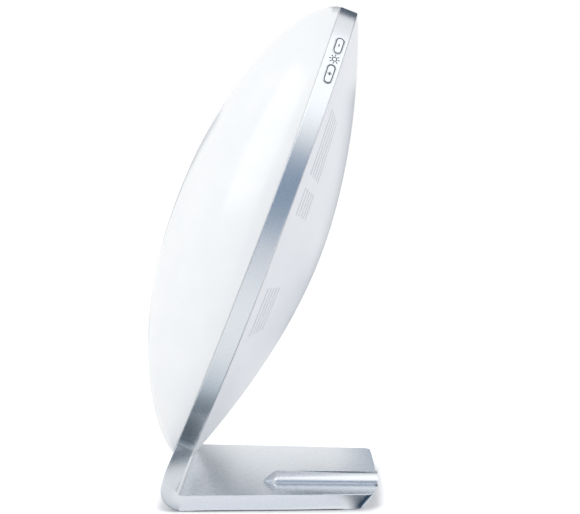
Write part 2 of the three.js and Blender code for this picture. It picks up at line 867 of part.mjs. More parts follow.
// The neck is as deep as the rim at the rim and thins to the foot's thickness at the bend
function standHalfDepth(station) {
  const share = THREE.MathUtils.clamp((station.v - bendStart) / -bendStart, 0, 1);
  return (footThickness + (rimDepth - footThickness) * share) / 2;
}

function bentBody(wall, rear) {
  const radius = Math.max(standEdgeRound - wall, standEdgeRound / 2);
  const stations = [...neckStations(fillet.end, neckSteps), ...bendStations(), footStation(rear)];
  return toSolid(loft(stations.map((station) => (
    pathRing(station, standHalfWidth(station) - wall, standHalfDepth(station) - wall, 0, radius)
  ))));
}

// The plan of the foot's rear end: round corners and a slightly bowed rear edge, inset by a wall
function planRing(z, rear, corner, wall) {
  const side = footHalfWidthAt(rear) - corner;
  const radius = corner - wall;
  const quarter = Array.from({ length: planSteps + 1 }, (_, step) => (Math.PI / 2) * (step / planSteps));
  const right = quarter.map((turn) => [
    side + radius * Math.cos(turn), rear - rearBulge - corner + radius * Math.sin(turn),
  ]);
  const left = right.toReversed().map(([x, y]) => [-x, y]);
  const middle = rearEdgeShares.map((share) => [side * share, rear - wall - rearBulge * share ** 2]);
  const wide = 2 * neckHalfWidth;
  const front = bendCentreY - footReach;
  return [[wide, front], ...right, ...middle, ...left, [-wide, front]].map(([x, y]) => [x, y, z]);
}

function rearTrim(wall) {
  const low = footRear - rearUndercut;
  return toSolid(loft([
    planRing(-footReach, low, rearCornerLow, wall), planRing(footClearance, low, rearCornerLow, wall),
    planRing(footTop, footRear, rearCorner, wall), planRing(footReach, footRear, rearCorner, wall),
  ]));
}

// A shape drawn in the XZ plane and carried along Y
function alongY(shape, start, end, x, z) {
  return toSolid(extruded(shape, end - start).rotateX(-Math.PI / 2).translate(x, start, z));
}

const ribEnd = footRear + ribOverhang;
const ribNose = headY + ribNoseStart;
const snoutEnd = ribEnd - inletSetback;
const inletSeat = snoutEnd - inletSnout;
const inletZ = footTop + inletLift;

// The rib: a half-round ridge with a pointed nose, turned about its own axis
function rib() {
  const shares = Array.from({ length: noseSteps + 1 }, (_, step) => step / noseSteps);
  const nose = shares.map((share) => new THREE.Vector2(
    ribRadius * (1 - (1 - share) ** ribNosePower), ribNose + ribNoseLength * share,
  ));
  const profile = [...nose, new THREE.Vector2(ribRadius, ribEnd), new THREE.Vector2(0, ribEnd)];
  const round = toSolid(new THREE.LatheGeometry(profile, 2 * roundSteps).translate(ribOffset, 0, footTop));
  const above = block(2 * neckHalfWidth, 2 * footReach, 2 * ribRadius).translate(0, 0, footTop - standWall / 2);
  return round.intersect(toSolid(above));
}

function ribBore() {
  const shape = stadium(inletHalfPitch, inletRadius + inletFlange + gap);
  return alongY(shape, ribNose + ribNoseLength + standWall, inletSeat, ribOffset, inletZ);
}

function inletOpening() {
  return alongY(stadium(inletHalfPitch, inletRadius + gap), inletSeat - overrun, ribEnd + overrun, ribOffset, inletZ);
}

// Plan of the opening under the foot, which the base plate closes with a clearance all round.
// It ends where the foot's round rear corners begin.
const plateFront = bendCentreY + basePlateFront;
const plateRear = footRear - rearUndercut - rearBulge - rearCornerLow;

function plateOutline(inset) {
  const shape = new THREE.Shape();
  const front = plateFront + inset;
  const rear = plateRear - inset;
  shape.moveTo(-footHalfWidthAt(front) + standWall + inset, front);
  shape.lineTo(footHalfWidthAt(front) - standWall - inset, front);
  shape.lineTo(footHalfWidthAt(rear) - standWall - inset, rear);
  shape.lineTo(-footHalfWidthAt(rear) + standWall + inset, rear);
  return shape;
}

function plateCorners(inset, fromEnd) {
  return [plateFront + fromEnd, plateRear - fromEnd].flatMap((y) => [-1, 1].map((side) => (
    [side * (footHalfWidthAt(y) - standWall - gap - inset), y]
  )));
}

const plateBottom = footClearance + gap;
const plateTop = plateBottom + basePlateThickness;
const roof = footTop - standWall;

function standShell() {
  const outer = bentBody(0, footRear + rearBulge).intersect(rearTrim(0));
  const cavity = bentBody(standWall, footRear - rearUndercut - standWall).intersect(rearTrim(standWall));
  const saddle = ovalPrism(-gap, rimDepth);
  const saddleInHead = saddle.transform(head.matrix.toArray());
  const opening = toSolid(extruded(plateOutline(0), plateTop - overrun).translate(0, 0, overrun));
  const shell = cut(join(outer, rib()), cavity, saddleInHead, ribBore(), inletOpening(), opening);
  const bosses = plateCorners(baseScrewInset, baseScrewFromEnd).map(([x, y]) => (
    toSolid(post(screwBossRadius, roof - plateTop - gap + standWall / 2).translate(x, y, plateTop + gap))
  ));
  const bores = plateCorners(baseScrewInset, baseScrewFromEnd).map(([x, y]) => (
    toSolid(screwHole(screwRadius, screwLength).translate(x, y, plateTop))
  ));
  return cut(join(shell, ...bosses), ...bores);
}

function basePlate() {
  const plate = toSolid(layer(plateOutline(gap), plateBottom, plateTop));
  const holes = plateCorners(baseScrewInset, baseScrewFromEnd).flatMap(([x, y]) => [
    toSolid(post(screwHeadRadius + gap, screwHeadHeight + 2 * gap).translate(x, y, plateBottom - gap)),
    toSolid(screwHole(screwRadius, basePlateThickness).translate(x, y, plateBottom)),
  ]);
  return cut(plate, ...holes);
}

function counterweight() {
  const middle = (plateFront + plateRear) / 2;
  return block(weightWidth, weightLength, weightThickness).translate(-weightOffset, middle, plateTop + gap);
}

// The steel bracket lies behind the web, runs down the neck and turns into the foot
function standBracket() {
  const offset = -webThickness / 2 - gap - bracketThickness / 2;
  const stations = [
    ...neckStations(bracketRise, bracketSteps), ...bendStations(), footStation(bendCentreY + bracketFoot),
  ];
  const rings = stations.map((station) => (
    pathRing(station, bracketWidth / 2, bracketThickness / 2, offset, bracketThickness / 4)
  ));
  const holes = bracketScrewPlaces().map(([u, v]) => {
    const hole = faceFront(screwHole(screwRadius, bracketThickness));
    return toSolid(atHead(hole, u, v, bracketBack)).transform(head.matrix.toArray());
  });
  return cut(toSolid(loft(rings)), ...holes);
}

function bracketScrew([u, v]) {
  const start = bracketBack - gap - screwHeadHeight;
  return atHead(faceFront(fromSolid(screw(bracketThickness + webThickness))), u, v, start);
}

// The mains inlet: a flange behind the rib's end wall, a snout in its opening and a deep recess
function powerInlet() {
  const body = alongY(stadium(inletHalfPitch, inletRadius), inletSeat - inletBody, snoutEnd, ribOffset, inletZ);
  const flangeEnd = inletSeat - gap;
  const flangeShape = stadium(inletHalfPitch, inletRadius + inletFlange);
  const flange = alongY(flangeShape, flangeEnd - inletFlangeThickness, flangeEnd, ribOffset, inletZ);
  const recessShape = stadium(inletHalfPitch, inletRadius - inletWall);
  const recess = alongY(recessShape, snoutEnd - inletRecess, snoutEnd + overrun, ribOffset, inletZ);
  const holes = [-pinOffset, pinOffset].map((x) => (
    toSolid(pin(pinRadius + gap, pinRoot + gap, inletRecess, x))
  ));
  return cut(join(body, flange), recess, ...holes);
}

function pin(radius, root, reach, x) {
  const start = snoutEnd - inletRecess - root;
  const turned = post(radius, root + reach, roundSteps / 2).rotateX(-Math.PI / 2);
  return turned.translate(ribOffset + x, start, inletZ);
}

// A place in the lamp's frame, from one in the head's: across, up the rim, and behind its plane
function inHead(u, v, depth) {
  return new THREE.Vector3(u, depth, v).applyMatrix4(head.matrix).toArray();
}

// The supply lead runs from the inlet through the foot and the neck to the ballast's lower end
function supplyLead() {
  const x = ribOffset;
  const leadZ = (plateTop + roof) / 2;
  const start = inletSeat - inletBody - gap;
  const bend = [0.25, 0.5, 0.75].map((share) => {
    const turn = Math.PI * 1.5 - (Math.PI / 2 + lean) * share;
    return [x, bendCentreY + bendRadius * Math.cos(turn), bendCentreZ + bendRadius * Math.sin(turn)];
  });
  const mouth = -windowMiddle;
  const endDepth = ballastHeight / 2 - ballastTop;
  const points = [
    [x, start, inletZ], [x, start - 10, inletZ], [x, start - 34, leadZ], [x, start - 60, leadZ],
    [x, bendCentreY + 60, leadZ], [x, bendCentreY + 8, footMiddle], ...bend, [x, ...neckPlace(bendStart)],
    inHead(x, -8, mouth), inHead(x, 4, mouth), inHead(x, 14, mouth + 0.4), inHead(x - 0.5, 20, 7.8),
    inHead(x - 1, 28, 12.3), inHead(x - 2, 36, 16.8), inHead(x - 6, 50, 20.5),
    inHead(x - 12, 72, 22), inHead(x - 26, 110, 26), inHead(x - 42, 160, endDepth),
    inHead(0, ballastStart - 20, endDepth), inHead(0, ballastStart - gap, endDepth),
  ];
  return lead(points, supplyLeadRadius, supplyLeadSteps);
}

function neckPlace(v) {
  const { y, z } = neckPoint(v);
  return [y, z];
}

// A thin lead from a lamp holder, through the tray, to the ballast's lower end
function lampLead(side) {
  const u = side * tubeOffset;
  const endU = side * ballastWidth * ballastLeadShare;
  const back = -trayBack;
  const endDepth = ballastHeight / 2 - ballastTop;
  const points = [
    [u, gap - trayFloor, lampLeadHeight], [u, back + 3, lampLeadHeight], [u, back + 8, lampLeadHeight + 14],
    [(u + endU) / 2, endDepth, lampLeadHeight + 76], [endU, endDepth, ballastStart - 16],
    [endU, endDepth, ballastStart - gap],
  ];
  return lead(points, thinLeadRadius, lampLeadSteps);
}

// A thin lead from a board behind the rim, back behind the tray, to the ballast's upper end
function boardLead({ matrix, face }, side) {
  const onBoard = (depth, back) => (
    new THREE.Vector3(-boardLength / 4, -side * back, face - boardThickness - depth).applyMatrix4(matrix).toArray()
  );
  const endU = side * ballastWidth * ballastLeadShare;
  const endDepth = ballastHeight / 2 - ballastTop;
  const behindRim = onBoard(9, 12);
  const overBallast = [endU, endDepth, halfLength + 24];
  const between = boardLeadShares.map((share) => (
    behindRim.map((value, axis) => THREE.MathUtils.lerp(value, overBallast[axis], share))
  ));
  const points = [
    onBoard(gap, 3), onBoard(3.5, 3.4), behindRim, ...between, overBallast, [endU, endDepth, halfLength + gap],
  ];
  return lead(points, thinLeadRadius, boardLeadSteps);
}

function addAll(prefix, places, build, finish, parent = lamp) {
  places.forEach((place, index) => addPiece(`${prefix}_${index + 1}`, build(place), finish, parent));
}

head.updateMatrix();

addPiece('front_diffuser', domedShell(diffuserShape), 'opal', head);
addPiece('rim_frame', rimFrame(), 'silver', head);
addPiece('rear_shell', rearShell(), 'white', head);
addPiece('reflector', reflector(), 'mirror', head);
[['left', -tubeOffset], ['right', tubeOffset]].forEach(([side, u]) => {
  addPiece(`tube_${side}`, glassTube(u), 'phosphor', head);
  addPiece(`tube_base_${side}`, tubeBase(u), 'white', head);
  addPiece(`lamp_holder_${side}`, lampHolder(u), 'white', head);
  addPiece(`tube_clip_${side}`, tubeClip(u), 'steel', head);
  addPiece(`lamp_lead_${side}`, lampLead(Math.sign(u)), 'black', head);
});
addPiece('ballast', ballast(), 'steel', head);
addPiece('control_board', controlBoard(frontPlan), 'board', head);
addPiece('power_board', controlBoard(powerPlan), 'board', head);
addPiece('control_lead', boardLead(frontPlan, 1), 'black', head);
addPiece('power_lead', boardLead(powerPlan, -1), 'black', head);
['minus_button', 'plus_button', 'power_button'].forEach((name, index) => {
  addPiece(name, button(buttonPlaces[index]), 'silver', head);
});
addAll('rear_screw', rearScrewPlaces(), rearScrew, 'steel', head);
addAll('bracket_screw', bracketScrewPlaces(), bracketScrew, 'steel', head);

addPiece('stand_shell', standShell(), 'silver');
addPiece('stand_bracket', standBracket(), 'steel');
addPiece('base_plate', basePlate(), 'black');
addPiece('counterweight', counterweight(), 'steel');
addPiece('supply_lead', supplyLead(), 'black');
addPiece('power_inlet', powerInlet(), 'black');
['left', 'right'].forEach((side, index) => {
  const x = (index * 2 - 1) * pinOffset;
  addPiece(`inlet_pin_${side}`, pin(pinRadius, pinRoot, inletRecess - pinSetback, x), 'brass');
});
addAll('base_screw', plateCorners(baseScrewInset, baseScrewFromEnd), ([x, y]) => (
  fromSolid(screw(screwLength)).translate(x, y, plateBottom)
), 'steel');
addAll('foot_pad', plateCorners(padInset, padInset), ([x, y]) => (
  post(padRadius, footClearance, 2 * roundSteps).translate(x, y, 0)
), 'rubber');

export default lamp;
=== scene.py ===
"""The looks of a light therapy lamp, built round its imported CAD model.

Lengths are millimetres and become metres where a mesh is made. The head has its own leaning frame: u runs
across, v up along the rim and w out of the front. The rim, the stand and the two domed shells are worked out
again here on finer grids. Their sizes are the CAD model's, but for the edge rounds of the rim and the stand, and
the foot's undercut and lower rear corners.
"""
import math

import bmesh
import bpy
import numpy as np
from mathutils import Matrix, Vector


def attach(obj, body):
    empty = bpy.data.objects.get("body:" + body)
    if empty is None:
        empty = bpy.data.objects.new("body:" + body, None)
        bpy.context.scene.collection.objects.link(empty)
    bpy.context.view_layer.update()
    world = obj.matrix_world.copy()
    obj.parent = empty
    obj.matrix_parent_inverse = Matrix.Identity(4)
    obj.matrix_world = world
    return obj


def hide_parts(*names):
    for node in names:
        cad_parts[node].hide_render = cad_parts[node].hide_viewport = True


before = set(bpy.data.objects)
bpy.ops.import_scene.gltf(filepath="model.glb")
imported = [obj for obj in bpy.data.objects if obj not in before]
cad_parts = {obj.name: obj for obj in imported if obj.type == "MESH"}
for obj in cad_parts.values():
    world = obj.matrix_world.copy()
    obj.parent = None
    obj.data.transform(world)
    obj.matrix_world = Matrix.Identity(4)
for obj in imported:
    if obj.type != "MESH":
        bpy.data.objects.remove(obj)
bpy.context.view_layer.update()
link = bpy.context.scene.collection.objects.link

MM = 0.001
MERGE_DISTANCE = 2e-6
LEAST_EDGE = 1e-7

# Angles over which an edge stays sharp, in degrees
SHARP = 32
SHELL_SHARP = 40
BUTTON_SHARP = 50

# Head: rim, dome and rear shell
RIM_HALF_WIDTH = 172
RIM_LENGTH = 586
OVAL_POWER = 2.4
RIM_DEPTH = 21
RIM_WALL = 3
RIM_BOW = 7
RIM_EDGE_ROUND = 0.5
WEB_REACH = 7
WEB_THICKNESS = 2.5
LEAN = math.radians(20.7)
HEAD_HEIGHT = 45.8
BASE_TO_MIDDLE = 103.87
DOME_HEIGHT = 113
DOME_POWER = 2
DOME_ROUND = 0.62
DOME_DROOP = 0.25
DROOP_POWER = 14
CROWN_SOFTNESS = 0.15
DIFFUSER_WALL = 3
BACK_DEPTH = 57
BACK_POWER = 1.8
BACK_ROUND = 0.96
REAR_WALL = 2.5
EDGE_WALL = 4.8
EDGE_INSET = 0.6
SKIRT_DEPTH = 2.6
GAP = 0.3

# Vent slots in the rear shell: the top and the length of each row
VENT_WIDTH = 1.6
VENT_PITCH = 5.4
VENT_EDGE = 13
VENT_COUNT = 5
VENT_ROWS = ((480, 80), (385, 34), (258, 62))

# Buttons
BUTTON_LENGTH = 24.6
BUTTON_WIDTH = 10.6
BUTTON_SHIFT = 1.6
BUTTON_PROUD = 0.5
BUTTON_FLANGE = 0.7
BUTTON_FLANGE_THICKNESS = 1.2
BUTTON_POCKET = 0.7
BUTTON_CROWN = 0.12
BUTTON_EDGE_ROUND = 0.55
BUTTON_HOLE_ROUND = 0.25
STEM_RADIUS = 2
STEM_LENGTH = 2
MINUS_HEIGHT = 539
PLUS_HEIGHT = 506
POWER_HEIGHT = 522

# Printed signs: the ink's width, its lowest and highest level on a cap and on the rim, and sizes. The power ring
# is a radius and two angles.
INK_WIDTH = 1.2
INK_INSET = 1.15
ON_CAP = (BUTTON_PROUD - 0.16, BUTTON_PROUD + 0.04)
SIGN_RAISE = 0.1
ON_RIM = (-0.05, 0.05)
MINUS_REACH = 2.1
PLUS_REACH = 2.4
POWER_RING = (1.7, 125, 415)
POWER_MARK = (0.2, 2.4)
SUN_RADIUS = 2.6
SUN_RAY_START = 4
SUN_RAY_END = 6.2

# Screws in the rear shell
REAR_SCREW_OFFSET = 20
REAR_SCREW_FROM_END = 72
REAR_SCREW_DEPTH = 5
REAR_POST_RADIUS = 4.2
REAR_POST_END = 15
REAR_WELL_REACH = 7
SCREW_RADIUS = 1.5
SCREW_HEAD_RADIUS = 3.2

# Stand
NECK_HALF_WIDTH = 106
FOOT_REAR_HALF_WIDTH = 94
FOOT_THICKNESS = 18.8
FOOT_CLEARANCE = 1.2
STAND_WALL = 2.5
BEND_INNER_RADIUS = 6
STAND_EDGE_ROUND = 1
NECK_FILLET = 20
UNDER_RIM = 0.4
FOOT_REACH = 244.6
REAR_UNDERCUT = 14
REAR_CORNER = 10
REAR_CORNER_LOW = 15
REAR_BULGE = 3

# Rib, inlet and the opening under the foot
RIB_RADIUS = 13.5
RIB_OFFSET = 48
RIB_NOSE_START = 103
RIB_NOSE_LENGTH = 18
RIB_NOSE_POWER = 1.3
RIB_OVERHANG = 0.6
RIB_EDGE_ROUND = 0.7
INLET_HALF_PITCH = 3.2
INLET_RADIUS = 5.5
INLET_FLANGE = 2
INLET_SNOUT = 4
INLET_SETBACK = 6.5
INLET_LIFT = 0.5
BASE_PLATE_FRONT = 14
BASE_PLATE_SETBACK = 45
BASE_PLATE_THICKNESS = 3

HALF_RIM = RIM_DEPTH / 2
HALF_LENGTH = RIM_LENGTH / 2
HEAD_Y = -BASE_TO_MIDDLE
FOOT_TOP = FOOT_CLEARANCE + FOOT_THICKNESS
FOOT_MIDDLE = FOOT_CLEARANCE + FOOT_THICKNESS / 2
HALF_FOOT = FOOT_THICKNESS / 2
BEND_RADIUS = BEND_INNER_RADIUS + HALF_FOOT
BEND_Z = FOOT_MIDDLE + BEND_RADIUS
BEND_Y = HEAD_Y + (BEND_RADIUS + (BEND_Z - HEAD_HEIGHT) * math.sin(LEAN)) / math.cos(LEAN)
BEND_START = (BEND_Y - HEAD_Y) * math.sin(LEAN) + (BEND_Z - HEAD_HEIGHT) * math.cos(LEAN)
FOOT_REAR = HEAD_Y + FOOT_REACH
RIB_END = FOOT_REAR + RIB_OVERHANG


# Meshes

class Skin:
    """Collects grids of points into one mesh. A grid is an array of rows, columns and x, y, z."""

    def __init__(self):
        self.points = []
        self.quads = []
        self.count = 0

    def add(self, grid, keep=None):
        """Adds a grid's cells, or those where keep, one smaller each way than the grid, is true."""
        grid = np.asarray(grid, float)
        rows, columns = grid.shape[:2]
        number = np.arange(rows * columns).reshape(rows, columns) + self.count
        cells = np.stack([number[:-1, :-1], number[:-1, 1:], number[1:, 1:], number[1:, :-1]], axis=-1)
        chosen = cells.reshape(-1, 4) if keep is None else cells[keep]
        self.points.append(grid.reshape(-1, 3))
        self.quads.append(chosen)
        self.count += rows * columns
        return self

    def make(self, name, sharp=SHARP):
        """Makes the object: doubles merged, faces outwards, smooth but for edges sharper than an angle."""
        used, quads = np.unique(np.concatenate(self.quads), return_inverse=True)
        mesh = bpy.data.meshes.new(name)
        mesh.from_pydata((np.concatenate(self.points)[used] * MM).tolist(), [], quads.reshape(-1, 4).tolist())
        work = bmesh.new()
        work.from_mesh(mesh)
        bmesh.ops.remove_doubles(work, verts=work.verts, dist=MERGE_DISTANCE)
        bmesh.ops.dissolve_degenerate(work, dist=LEAST_EDGE, edges=work.edges)
        bmesh.ops.recalc_face_normals(work, faces=work.faces)
        work.to_mesh(mesh)
        work.free()
        mesh.shade_smooth()
        mesh.set_sharp_from_angle(angle=math.radians(sharp))
        piece = bpy.data.objects.new(name, mesh)
        link(piece)
        return piece


def closed_up(points, axis=0):
    """A line or grid of points with its first one along an axis again at the end."""
    return np.concatenate([points, np.take(points, [0], axis)], axis)


def carved(piece, tools, operation="DIFFERENCE"):
    """Cuts tools from a piece, or joins them to it, and keeps the result as the piece's own mesh."""
    for tool in tools:
        change = piece.modifiers.new("carve", "BOOLEAN")
        change.operation = operation
        change.solver = "EXACT"
        change.object = tool
    graph = bpy.context.evaluated_depsgraph_get()
    made = bpy.data.meshes.new_from_object(piece.evaluated_get(graph))
    piece.modifiers.clear()
    piece.data = made
    made.name = piece.name
    for tool in tools:
        bpy.data.objects.remove(tool)
    made.shade_smooth()
    made.set_sharp_from_angle(angle=math.radians(SHARP))
    return piece


# The head's shapes

def bow(v):
    """How far the rim bows to the back at height v: a parabola, 0 at both ends."""
    rise = np.clip(v / RIM_LENGTH, 0, 1)
    return 4 * RIM_BOW * rise * (1 - rise)


def in_lamp(u, v, w):
    """Points of the head's frame in the lamp's: bowed to the back, leaned back and set on the neck."""
    u, v, w = np.broadcast_arrays(u, v, w)
    back = bow(v) - w
    y = HEAD_Y + back * math.cos(LEAN) + v * math.sin(LEAN)
    z = HEAD_HEIGHT - back * math.sin(LEAN) + v * math.cos(LEAN)
    return np.stack([u, y, z], axis=-1)


def oval(angle, inset=0, power=OVAL_POWER):
    """The rim's outline, inset from its outer face: a superellipse, as u and v from the oval's middle.

    Each is the half size times the cosine or sine, which is raised to 2 / power with its sign kept.
    """
    across, along = np.cos(angle), np.sin(angle)
    u = (RIM_HALF_WIDTH - inset) * np.sign(across) * np.abs(across) ** (2 / power)
    v = (HALF_LENGTH - inset) * np.sign(along) * np.abs(along) ** (2 / power)
    return u, v


def bulge(share, height, power, roundness):
    """Height of a domed shell at a share of the oval: height * (1 - share**power)**roundness.

    Near the middle share**power is taken from a share that never quite reaches 0, so the crown is smooth.
    """
    soft = CROWN_SOFTNESS
    rise = (share ** 2 + soft ** 2) ** (power / 2) - soft ** power
    full = (1 + soft ** 2) ** (power / 2) - soft ** power
    return height * np.clip(1 - rise / full, 0, 1) ** roundness


def domed_ring(angle, share, inset, base, height):
    """Rings of the dome: ovals scaled by a share, as high as bulge. The oval's power goes from 2 to the rim's."""
    shape = 2 + (OVAL_POWER - 2) * share ** 2
    u, v = oval(angle, inset, shape)
    rise = bulge(share, height, DOME_POWER, dome_round(angle))
    return in_lamp(u * share, HALF_LENGTH + v * share, base + rise)


def dome_round(angle):
    """The dome's roundness: it grows by a high power of how far down the angle points, so the end is gentle."""
    return DOME_ROUND + DOME_DROOP * np.clip(-np.sin(angle), 0, 1) ** DROOP_POWER


def sine_shares(steps):
    """Shares from 0 to 1 as the sine of equal angles, closer together where a dome turns steep."""
    return np.sin(np.linspace(0, math.pi / 2, steps + 1))


def flat_rings(angle, places):
    """Rings of the rim's outline, each with its own inset from the rim's face and its own level w."""
    rings = []
    for inset, w in places:
        u, v = oval(angle, inset)
        rings.append(in_lamp(u, HALF_LENGTH + v, w))
    return np.stack(rings)


def front_diffuser():
    """The opal dome: outer face, flush edge, the skirt inside the rim, and the inner face."""
    angle = np.linspace(0, 2 * math.pi, 321)[None, :]
    seat = HALF_RIM + GAP
    outer = domed_ring(angle, sine_shares(90)[:, None], EDGE_INSET, seat, DOME_HEIGHT)
    inside = DOME_HEIGHT - DIFFUSER_WALL
    inner = domed_ring(angle, sine_shares(24)[:, None], EDGE_INSET + EDGE_WALL, seat, inside)
    edge = [(EDGE_INSET, seat), (RIM_WALL + GAP, seat), (RIM_WALL + GAP, HALF_RIM - SKIRT_DEPTH),
            (EDGE_INSET + EDGE_WALL, HALF_RIM - SKIRT_DEPTH), (EDGE_INSET + EDGE_WALL, seat)]
    return Skin().add(outer).add(flat_rings(angle[0], edge)).add(inner).make("front_dome", SHELL_SHARP)


def border(grid, row, column):
    """The closed line of points round a block of a grid's cells, given by first and last row and column."""
    (top, bottom), (left, right) = row, column
    return np.concatenate([grid[top, left:right], grid[top:bottom, right],
                           grid[bottom, right:left:-1], grid[bottom:top:-1, left]])


def share_of(u, v, inset):
    """Share of a domed shell's oval at a place: (across**power + along**power)**(1 / power).

    The power itself depends on the share, as in domed_ring, so it is worked out again four times.
    """
    across = np.abs(u) / (RIM_HALF_WIDTH - inset)
    along = np.abs(v - HALF_LENGTH) / (HALF_LENGTH - inset)
    power = OVAL_POWER
    for _ in range(4):
        share = (across ** power + along ** power) ** (1 / power)
        power = 2 + (OVAL_POWER - 2) * np.clip(share, 0, 1) ** 2
    return np.clip(share, 0, 1)


def on_rear(u, v, inside=False):
    """Places on the rear shell's outer or inner face at u and v: as deep as bulge at their share of the oval."""
    inset, depth = (EDGE_INSET + EDGE_WALL, BACK_DEPTH - REAR_WALL) if inside else (EDGE_INSET, BACK_DEPTH)
    return in_lamp(u, v, -HALF_RIM - GAP - bulge(share_of(u, v, inset), depth, BACK_POWER, BACK_ROUND))


def oval_angle(v):
    """Angle at which the rim's outline reaches height v on the side of the minus and plus buttons."""
    along = (v - HALF_LENGTH) / HALF_LENGTH
    return math.asin(math.copysign(abs(along) ** (OVAL_POWER / 2), along))


def well(grid_u, grid_v, place):
    """The block of grid rows and columns round a screw well, and the directions from its middle."""
    u, v = place
    close = (np.abs(grid_u - u) < REAR_WELL_REACH) & (np.abs(grid_v - v) < REAR_WELL_REACH)
    rows = np.flatnonzero(close.any(axis=1))
    columns = np.flatnonzero(close.any(axis=0))
    row, column = (rows[0] - 1, rows[-1] + 1), (columns[0] - 1, columns[-1] + 1)
    around = np.stack([border(grid_u, row, column), border(grid_v, row, column)], axis=-1)
    away = around - np.array(place)
    return row, column, around, away / np.linalg.norm(away, axis=1, keepdims=True)


def rear_shell():
    """The rear shell with its vents and screw wells.

    Rings follow the oval at insets that include both edges of each slot, then shrink to the middle. The cells of
    each slot and well are left out of both faces, and its walls are added.
    """
    side_steps, edge_rings, middle_rings, closest = 180, 6, 42, 0.006
    slots = VENT_EDGE + VENT_PITCH * np.arange(VENT_COUNT)
    slot_edges = np.stack([slots, slots + VENT_WIDTH], axis=1).ravel()
    last = slot_edges[-1] + VENT_PITCH - VENT_WIDTH
    ends = np.array([[oval_angle(top - length), oval_angle(top)] for top, length in VENT_ROWS])
    plain = np.linspace(-math.pi / 2, math.pi / 2, side_steps + 1)
    apart = np.abs(plain[:, None] - ends.ravel()[None, :]).min(axis=1)
    right = np.sort(np.concatenate([plain[apart > closest], ends.ravel()]))
    angle = np.concatenate([right, math.pi - right[::-1][1:]])
    columns = len(angle) - 1
    shrink = np.linspace(1, 0, middle_rings + 1)[1:]
    skin = Skin()
    faces = []
    for inside in (False, True):
        edge = EDGE_INSET + (EDGE_WALL if inside else 0)
        insets = np.concatenate([np.linspace(edge, VENT_EDGE, edge_rings + 1)[:-1], slot_edges, [last]])
        ring_u, ring_v = oval(angle[None, :], insets[:, None])
        grid_u = np.concatenate([ring_u, ring_u[-1:] * shrink[:, None]])
        grid_v = np.concatenate([ring_v, ring_v[-1:] * shrink[:, None]]) + HALF_LENGTH
        faces.append((grid_u, grid_v, on_rear(grid_u, grid_v, inside)))
    (grid_u, grid_v, outer), (_, _, inner) = faces
    keep = np.ones((len(outer) - 1, columns), bool)
    for slot in range(VENT_COUNT):
        first = edge_rings + 2 * slot
        row = (first, first + 1)
        for low, high in ends:
            start, stop = np.searchsorted(right, [low - 1e-9, high - 1e-9])
            for column in ((start, stop), (columns - stop, columns - start)):
                keep[slice(*row), slice(*column)] = False
                skin.add(np.stack([closed_up(border(face, row, column)) for face in (outer, inner)]))
    for u in (-REAR_SCREW_OFFSET, REAR_SCREW_OFFSET):
        for v in (REAR_SCREW_FROM_END, RIM_LENGTH - REAR_SCREW_FROM_END):
            row, column, around, away = well(grid_u, grid_v, (u, v))
            keep[slice(*row), slice(*column)] = False
            skin.add(well_rings(u, v, around, away, border(inner, row, column)))
    skin.add(outer, keep).add(inner, keep)
    seat = -HALF_RIM - GAP
    inner_seat = seat + (SKIRT_DEPTH + GAP)
    flush = [(EDGE_INSET, seat), (RIM_WALL + GAP, seat), (RIM_WALL + GAP, inner_seat),
             (EDGE_INSET + EDGE_WALL, inner_seat), (EDGE_INSET + EDGE_WALL, seat)]
    return skin.add(flat_rings(angle, flush)).make("rear_cover", SHELL_SHARP)


def well_rings(u, v, around, away, inner_line):
    """The rings of one screw well, from the outer face down to the tray and back to the inner face."""
    def level(radius, depth):
        """A flat circle round the screw's middle: the middle plus the radius along every direction."""
        return in_lamp(u + away[:, 0] * radius, v + away[:, 1] * radius, -depth)

    middle = np.array([[u, v]])
    face = HALF_RIM + GAP + bulge(share_of(*middle.T, EDGE_INSET), BACK_DEPTH, BACK_POWER, BACK_ROUND)[0]
    floor = face - REAR_SCREW_DEPTH
    wall, hole, post = SCREW_HEAD_RADIUS + GAP, SCREW_RADIUS + GAP, REAR_POST_RADIUS
    lip = np.array([u, v]) + away * wall
    post_line = np.array([u, v]) + away * post
    lines = [on_rear(*(around * (1 - share) + lip * share).T) for share in np.linspace(0, 1, 5)]
    lines += [level(wall, floor), level(hole, floor), level(hole, REAR_POST_END), level(post, REAR_POST_END)]
    lines += [on_rear(*post_line.T, inside=True), inner_line]
    return np.stack([closed_up(line) for line in lines])


# The rim and its buttons

TURN = np.linspace(0, 2 * math.pi, 8001)
LINE_U, LINE_V = oval(TURN)
ARC = np.concatenate([[0], np.cumsum(np.hypot(np.diff(LINE_U), np.diff(LINE_V)))])


def arc_at(v, side):
    """Length along the rim's outline, from its widest place, at which it reaches height v on a side."""
    angle = oval_angle(v)
    return float(np.interp(angle if side > 0 else math.pi - angle, TURN, ARC))


def on_band(s, w, out=0):
    """Places on the rim's outer face, by length s along its outline, width w and height out of it.

    A place is the outline's point at s, moved out square to the chord between two points close before and after.
    """
    s = np.mod(s, ARC[-1])
    u, v = np.interp(s, ARC, LINE_U), np.interp(s, ARC, LINE_V)
    step = 0.5
    ahead, behind = np.mod(s + step, ARC[-1]), np.mod(s - step, ARC[-1])
    along_u = np.interp(ahead, ARC, LINE_U) - np.interp(behind, ARC, LINE_U)
    along_v = np.interp(ahead, ARC, LINE_V) - np.interp(behind, ARC, LINE_V)
    length = np.hypot(along_u, along_v)
    return in_lamp(u + out * along_v / length, HALF_LENGTH + v - out * along_u / length, w)


def near_button(centre, place, out):
    """Places on the rim, x along and y across it from a button's middle, at a height out of its face."""
    return on_band(centre + place[:, 0], place[:, 1] - BUTTON_SHIFT, out)


